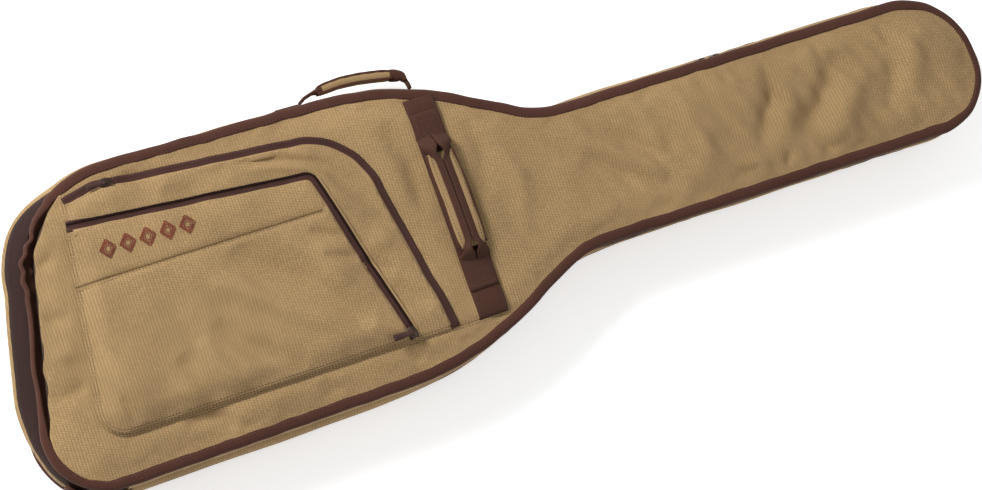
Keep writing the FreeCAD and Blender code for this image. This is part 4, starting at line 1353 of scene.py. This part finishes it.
def slider_shape(scale=1.0):
    """Zip slider seen along its travel: a waisted plate and the loop for the pull."""
    plate = cast_plate([(-6.0, 3.4, 2.0), (0.5, 4.6, 4.0), (6.2, 3.0, 2.4)], 0.0, 1.6)
    bridge = [(-4.4, 0.8), (-4.0, 1.9), (-2.4, 2.7), (0, 3.0), (2.4, 2.7), (4.0, 1.9), (4.4, 0.8)]
    loop = ribbon([(u, 0, z) for u, z in bridge], 2.2, 0.8, across=(0, 1, 0))
    verts, faces = merge([plate, loop])
    return verts * (scale, scale, 1.0), faces


def pull_shape(length, wide):
    """Pull: a narrow eye round the loop, then a tab with rounded shoulders and ribs."""
    half = wide / 2
    eye = ribbon([(-1.4, 0, 0.0), (-0.6, 0, 0.5), (2.0, 0, 0.5), (5.0, 0, 0.2)], 3.2, 1.0,
                 across=(0, 1, 0))
    tab = cast_plate([(3.6, half * 0.62, 1.0), (length * 0.55, half * 0.8, 2.0),
                      (length, half, 1.8)], -0.8, 2.0)
    ribs = [ribbon([(u, -half * 0.5, 1.2), (u, half * 0.5, 1.2)], 0.9, 0.5, across=(1, 0, 0))
            for u in np.arange(length * 0.55, length - 1.5, 2.0)]
    return merge([eye, tab] + ribs)


def make_pocket_slider(word):
    slider, pull = word + "_pocket_slider", word + "_pocket_pull"
    x, y = middle(slider, "x"), middle(slider, "y")
    joint = next(j for j in frame["joints"] if j["name"] == word + "_pocket_zip_slide")
    place = (x, y, low(slider, "z") + 0.5)
    piece(slider + "_casting", turned(slider_shape(1.25), place, joint["axis"]), METAL, slider,
          (slider,))
    place = (high(pull, "x") - 0.9, y, high(pull, "z") - 1.4)
    shape = pull_shape(width(pull, "x") + 7.1, 8.6)
    piece(pull + "_tab", turned(shape, place, (-1.0, 0.0, 0.0)), TAB, pull, (pull,))


def make_main_slider(letter):
    slider, pull = "main_slider_" + letter, "main_pull_" + letter
    x, y = middle(slider, "x"), low(slider, "y")
    out = (0, 1.0, 0)
    piece(slider + "_casting", turned(slider_shape(), (x, y + 0.1, Z_PART), (1.0, 0, 0), out),
          METAL, slider, (slider,))
    shape = turned(pull_shape(27.0, 7.0), (x, y + 2.6, Z_PART), (0, 0, -1.0), out)
    piece(pull + "_tab", shape, METAL, pull, (pull,))


def make_ladder_lock(side, word):
    """Ladder lock: a frame with four bars that the webbing threads through."""
    node = "ladder_lock_" + word
    u0, half = 306.5, 17.5
    bars = [ribbon([(u0 + du, -half, 3.5), (u0 + du, 0, 3.6), (u0 + du, half, 3.5)], 3.2, tall,
                   across=(1, 0, 0))
            for du, tall in ((0.0, 5.0), (9.5, 4.2), (17.0, 4.6), (23.0, 5.2))]
    sides = [ribbon([(u0 - 1.0, v, 3.5), (u0 + 12, v, 3.7), (u0 + 24.4, v, 3.5)], 3.4, 5.4,
                    across=(0, 1, 0)) for v in (-half, half)]
    piece(node + "_frame", on_strap(merge(bars + sides), side), PLASTIC, node, (node,))


# ---- studio -----------------------------------------------------------------------------------
def make_studio():
    scene = bpy.context.scene
    scene.view_settings.view_transform = "Standard"
    world = bpy.data.worlds.new("studio")
    scene.world = world
    world.use_nodes = True
    world.node_tree.nodes["Background"].inputs["Color"].default_value = (1, 1, 1, 1)
    world.node_tree.nodes["Background"].inputs["Strength"].default_value = 0.50
    floor = bpy.data.meshes.new("floor")
    floor.from_pydata([(-8, -8, -0.0005), (8, -8, -0.0005), (8, 8, -0.0005), (-8, 8, -0.0005)],
                      [], [(0, 1, 2, 3)])
    material, principled, wire, _ = shader("pale_floor", 0.9)
    wire(principled, {"Base Color": (0.93, 0.93, 0.93, 1), "Emission Color": (1, 1, 1, 1),
                      "Emission Strength": 0.42})
    floor.materials.append(material)
    floor_object = bpy.data.objects.new("floor", floor)
    scene.collection.objects.link(floor_object)
    for name, place, size, power in (
        ("key", (-1.9, 2.1, 2.1), 1.1, 125.0),
        ("fill", (1.8, -1.4, 2.6), 2.4, 14.0),
    ):
        data = bpy.data.lights.new(name, "AREA")
        data.size = size
        data.energy = power
        light = bpy.data.objects.new(name, data)
        light.location = place
        light.rotation_euler = (-Vector(place)).to_track_quat("-Z", "Y").to_euler()
        scene.collection.objects.link(light)


def make_camera():
    """Camera almost over the bag, leaning to its bottom end, with the neck running up right."""
    lean_x, lean_y, roll = math.radians(15.0), math.radians(2.5), math.radians(17.9)
    target = Vector((-0.053, -0.048, 0.085))
    back = Vector((-math.tan(lean_x), -math.tan(lean_y), 1.0)).normalized()
    across = Vector((1, 0, 0))
    across = (across - back * across.dot(back)).normalized()
    along = back.cross(across)
    right = across * math.cos(roll) - along * math.sin(roll)
    up = across * math.sin(roll) + along * math.cos(roll)
    data = bpy.data.cameras.new("camera")
    data.lens = 91.7
    data.sensor_width = 36.0
    camera = bpy.data.objects.new("camera", data)
    turn = Matrix((right, up, back)).transposed().to_4x4()
    camera.matrix_world = Matrix.Translation(target + back * 3.0) @ turn
    bpy.context.scene.collection.objects.link(camera)
    bpy.context.scene.camera = camera


for make in (make_front_panel, make_front_lining, make_front_binding, make_zip, make_hinge,
             make_gusset, make_back_binding, make_back, make_large_pocket, make_small_pocket,
             make_ornament, make_waist, make_front_handle, make_front_handle_webbing,
             make_side_handle, make_bumper, make_neck_rest, make_neck_strap, make_end_patch):
    make()
for strap_side, strap_word in ((1, "left"), (-1, "right")):
    make_shoulder_strap(strap_side, strap_word)
    make_ladder_lock(strap_side, strap_word)
make_top_patch()
make_pocket_slider("large")
make_pocket_slider("small")
make_main_slider("a")
make_main_slider("b")
make_studio()
make_camera()

bpy.context.view_layer.update()
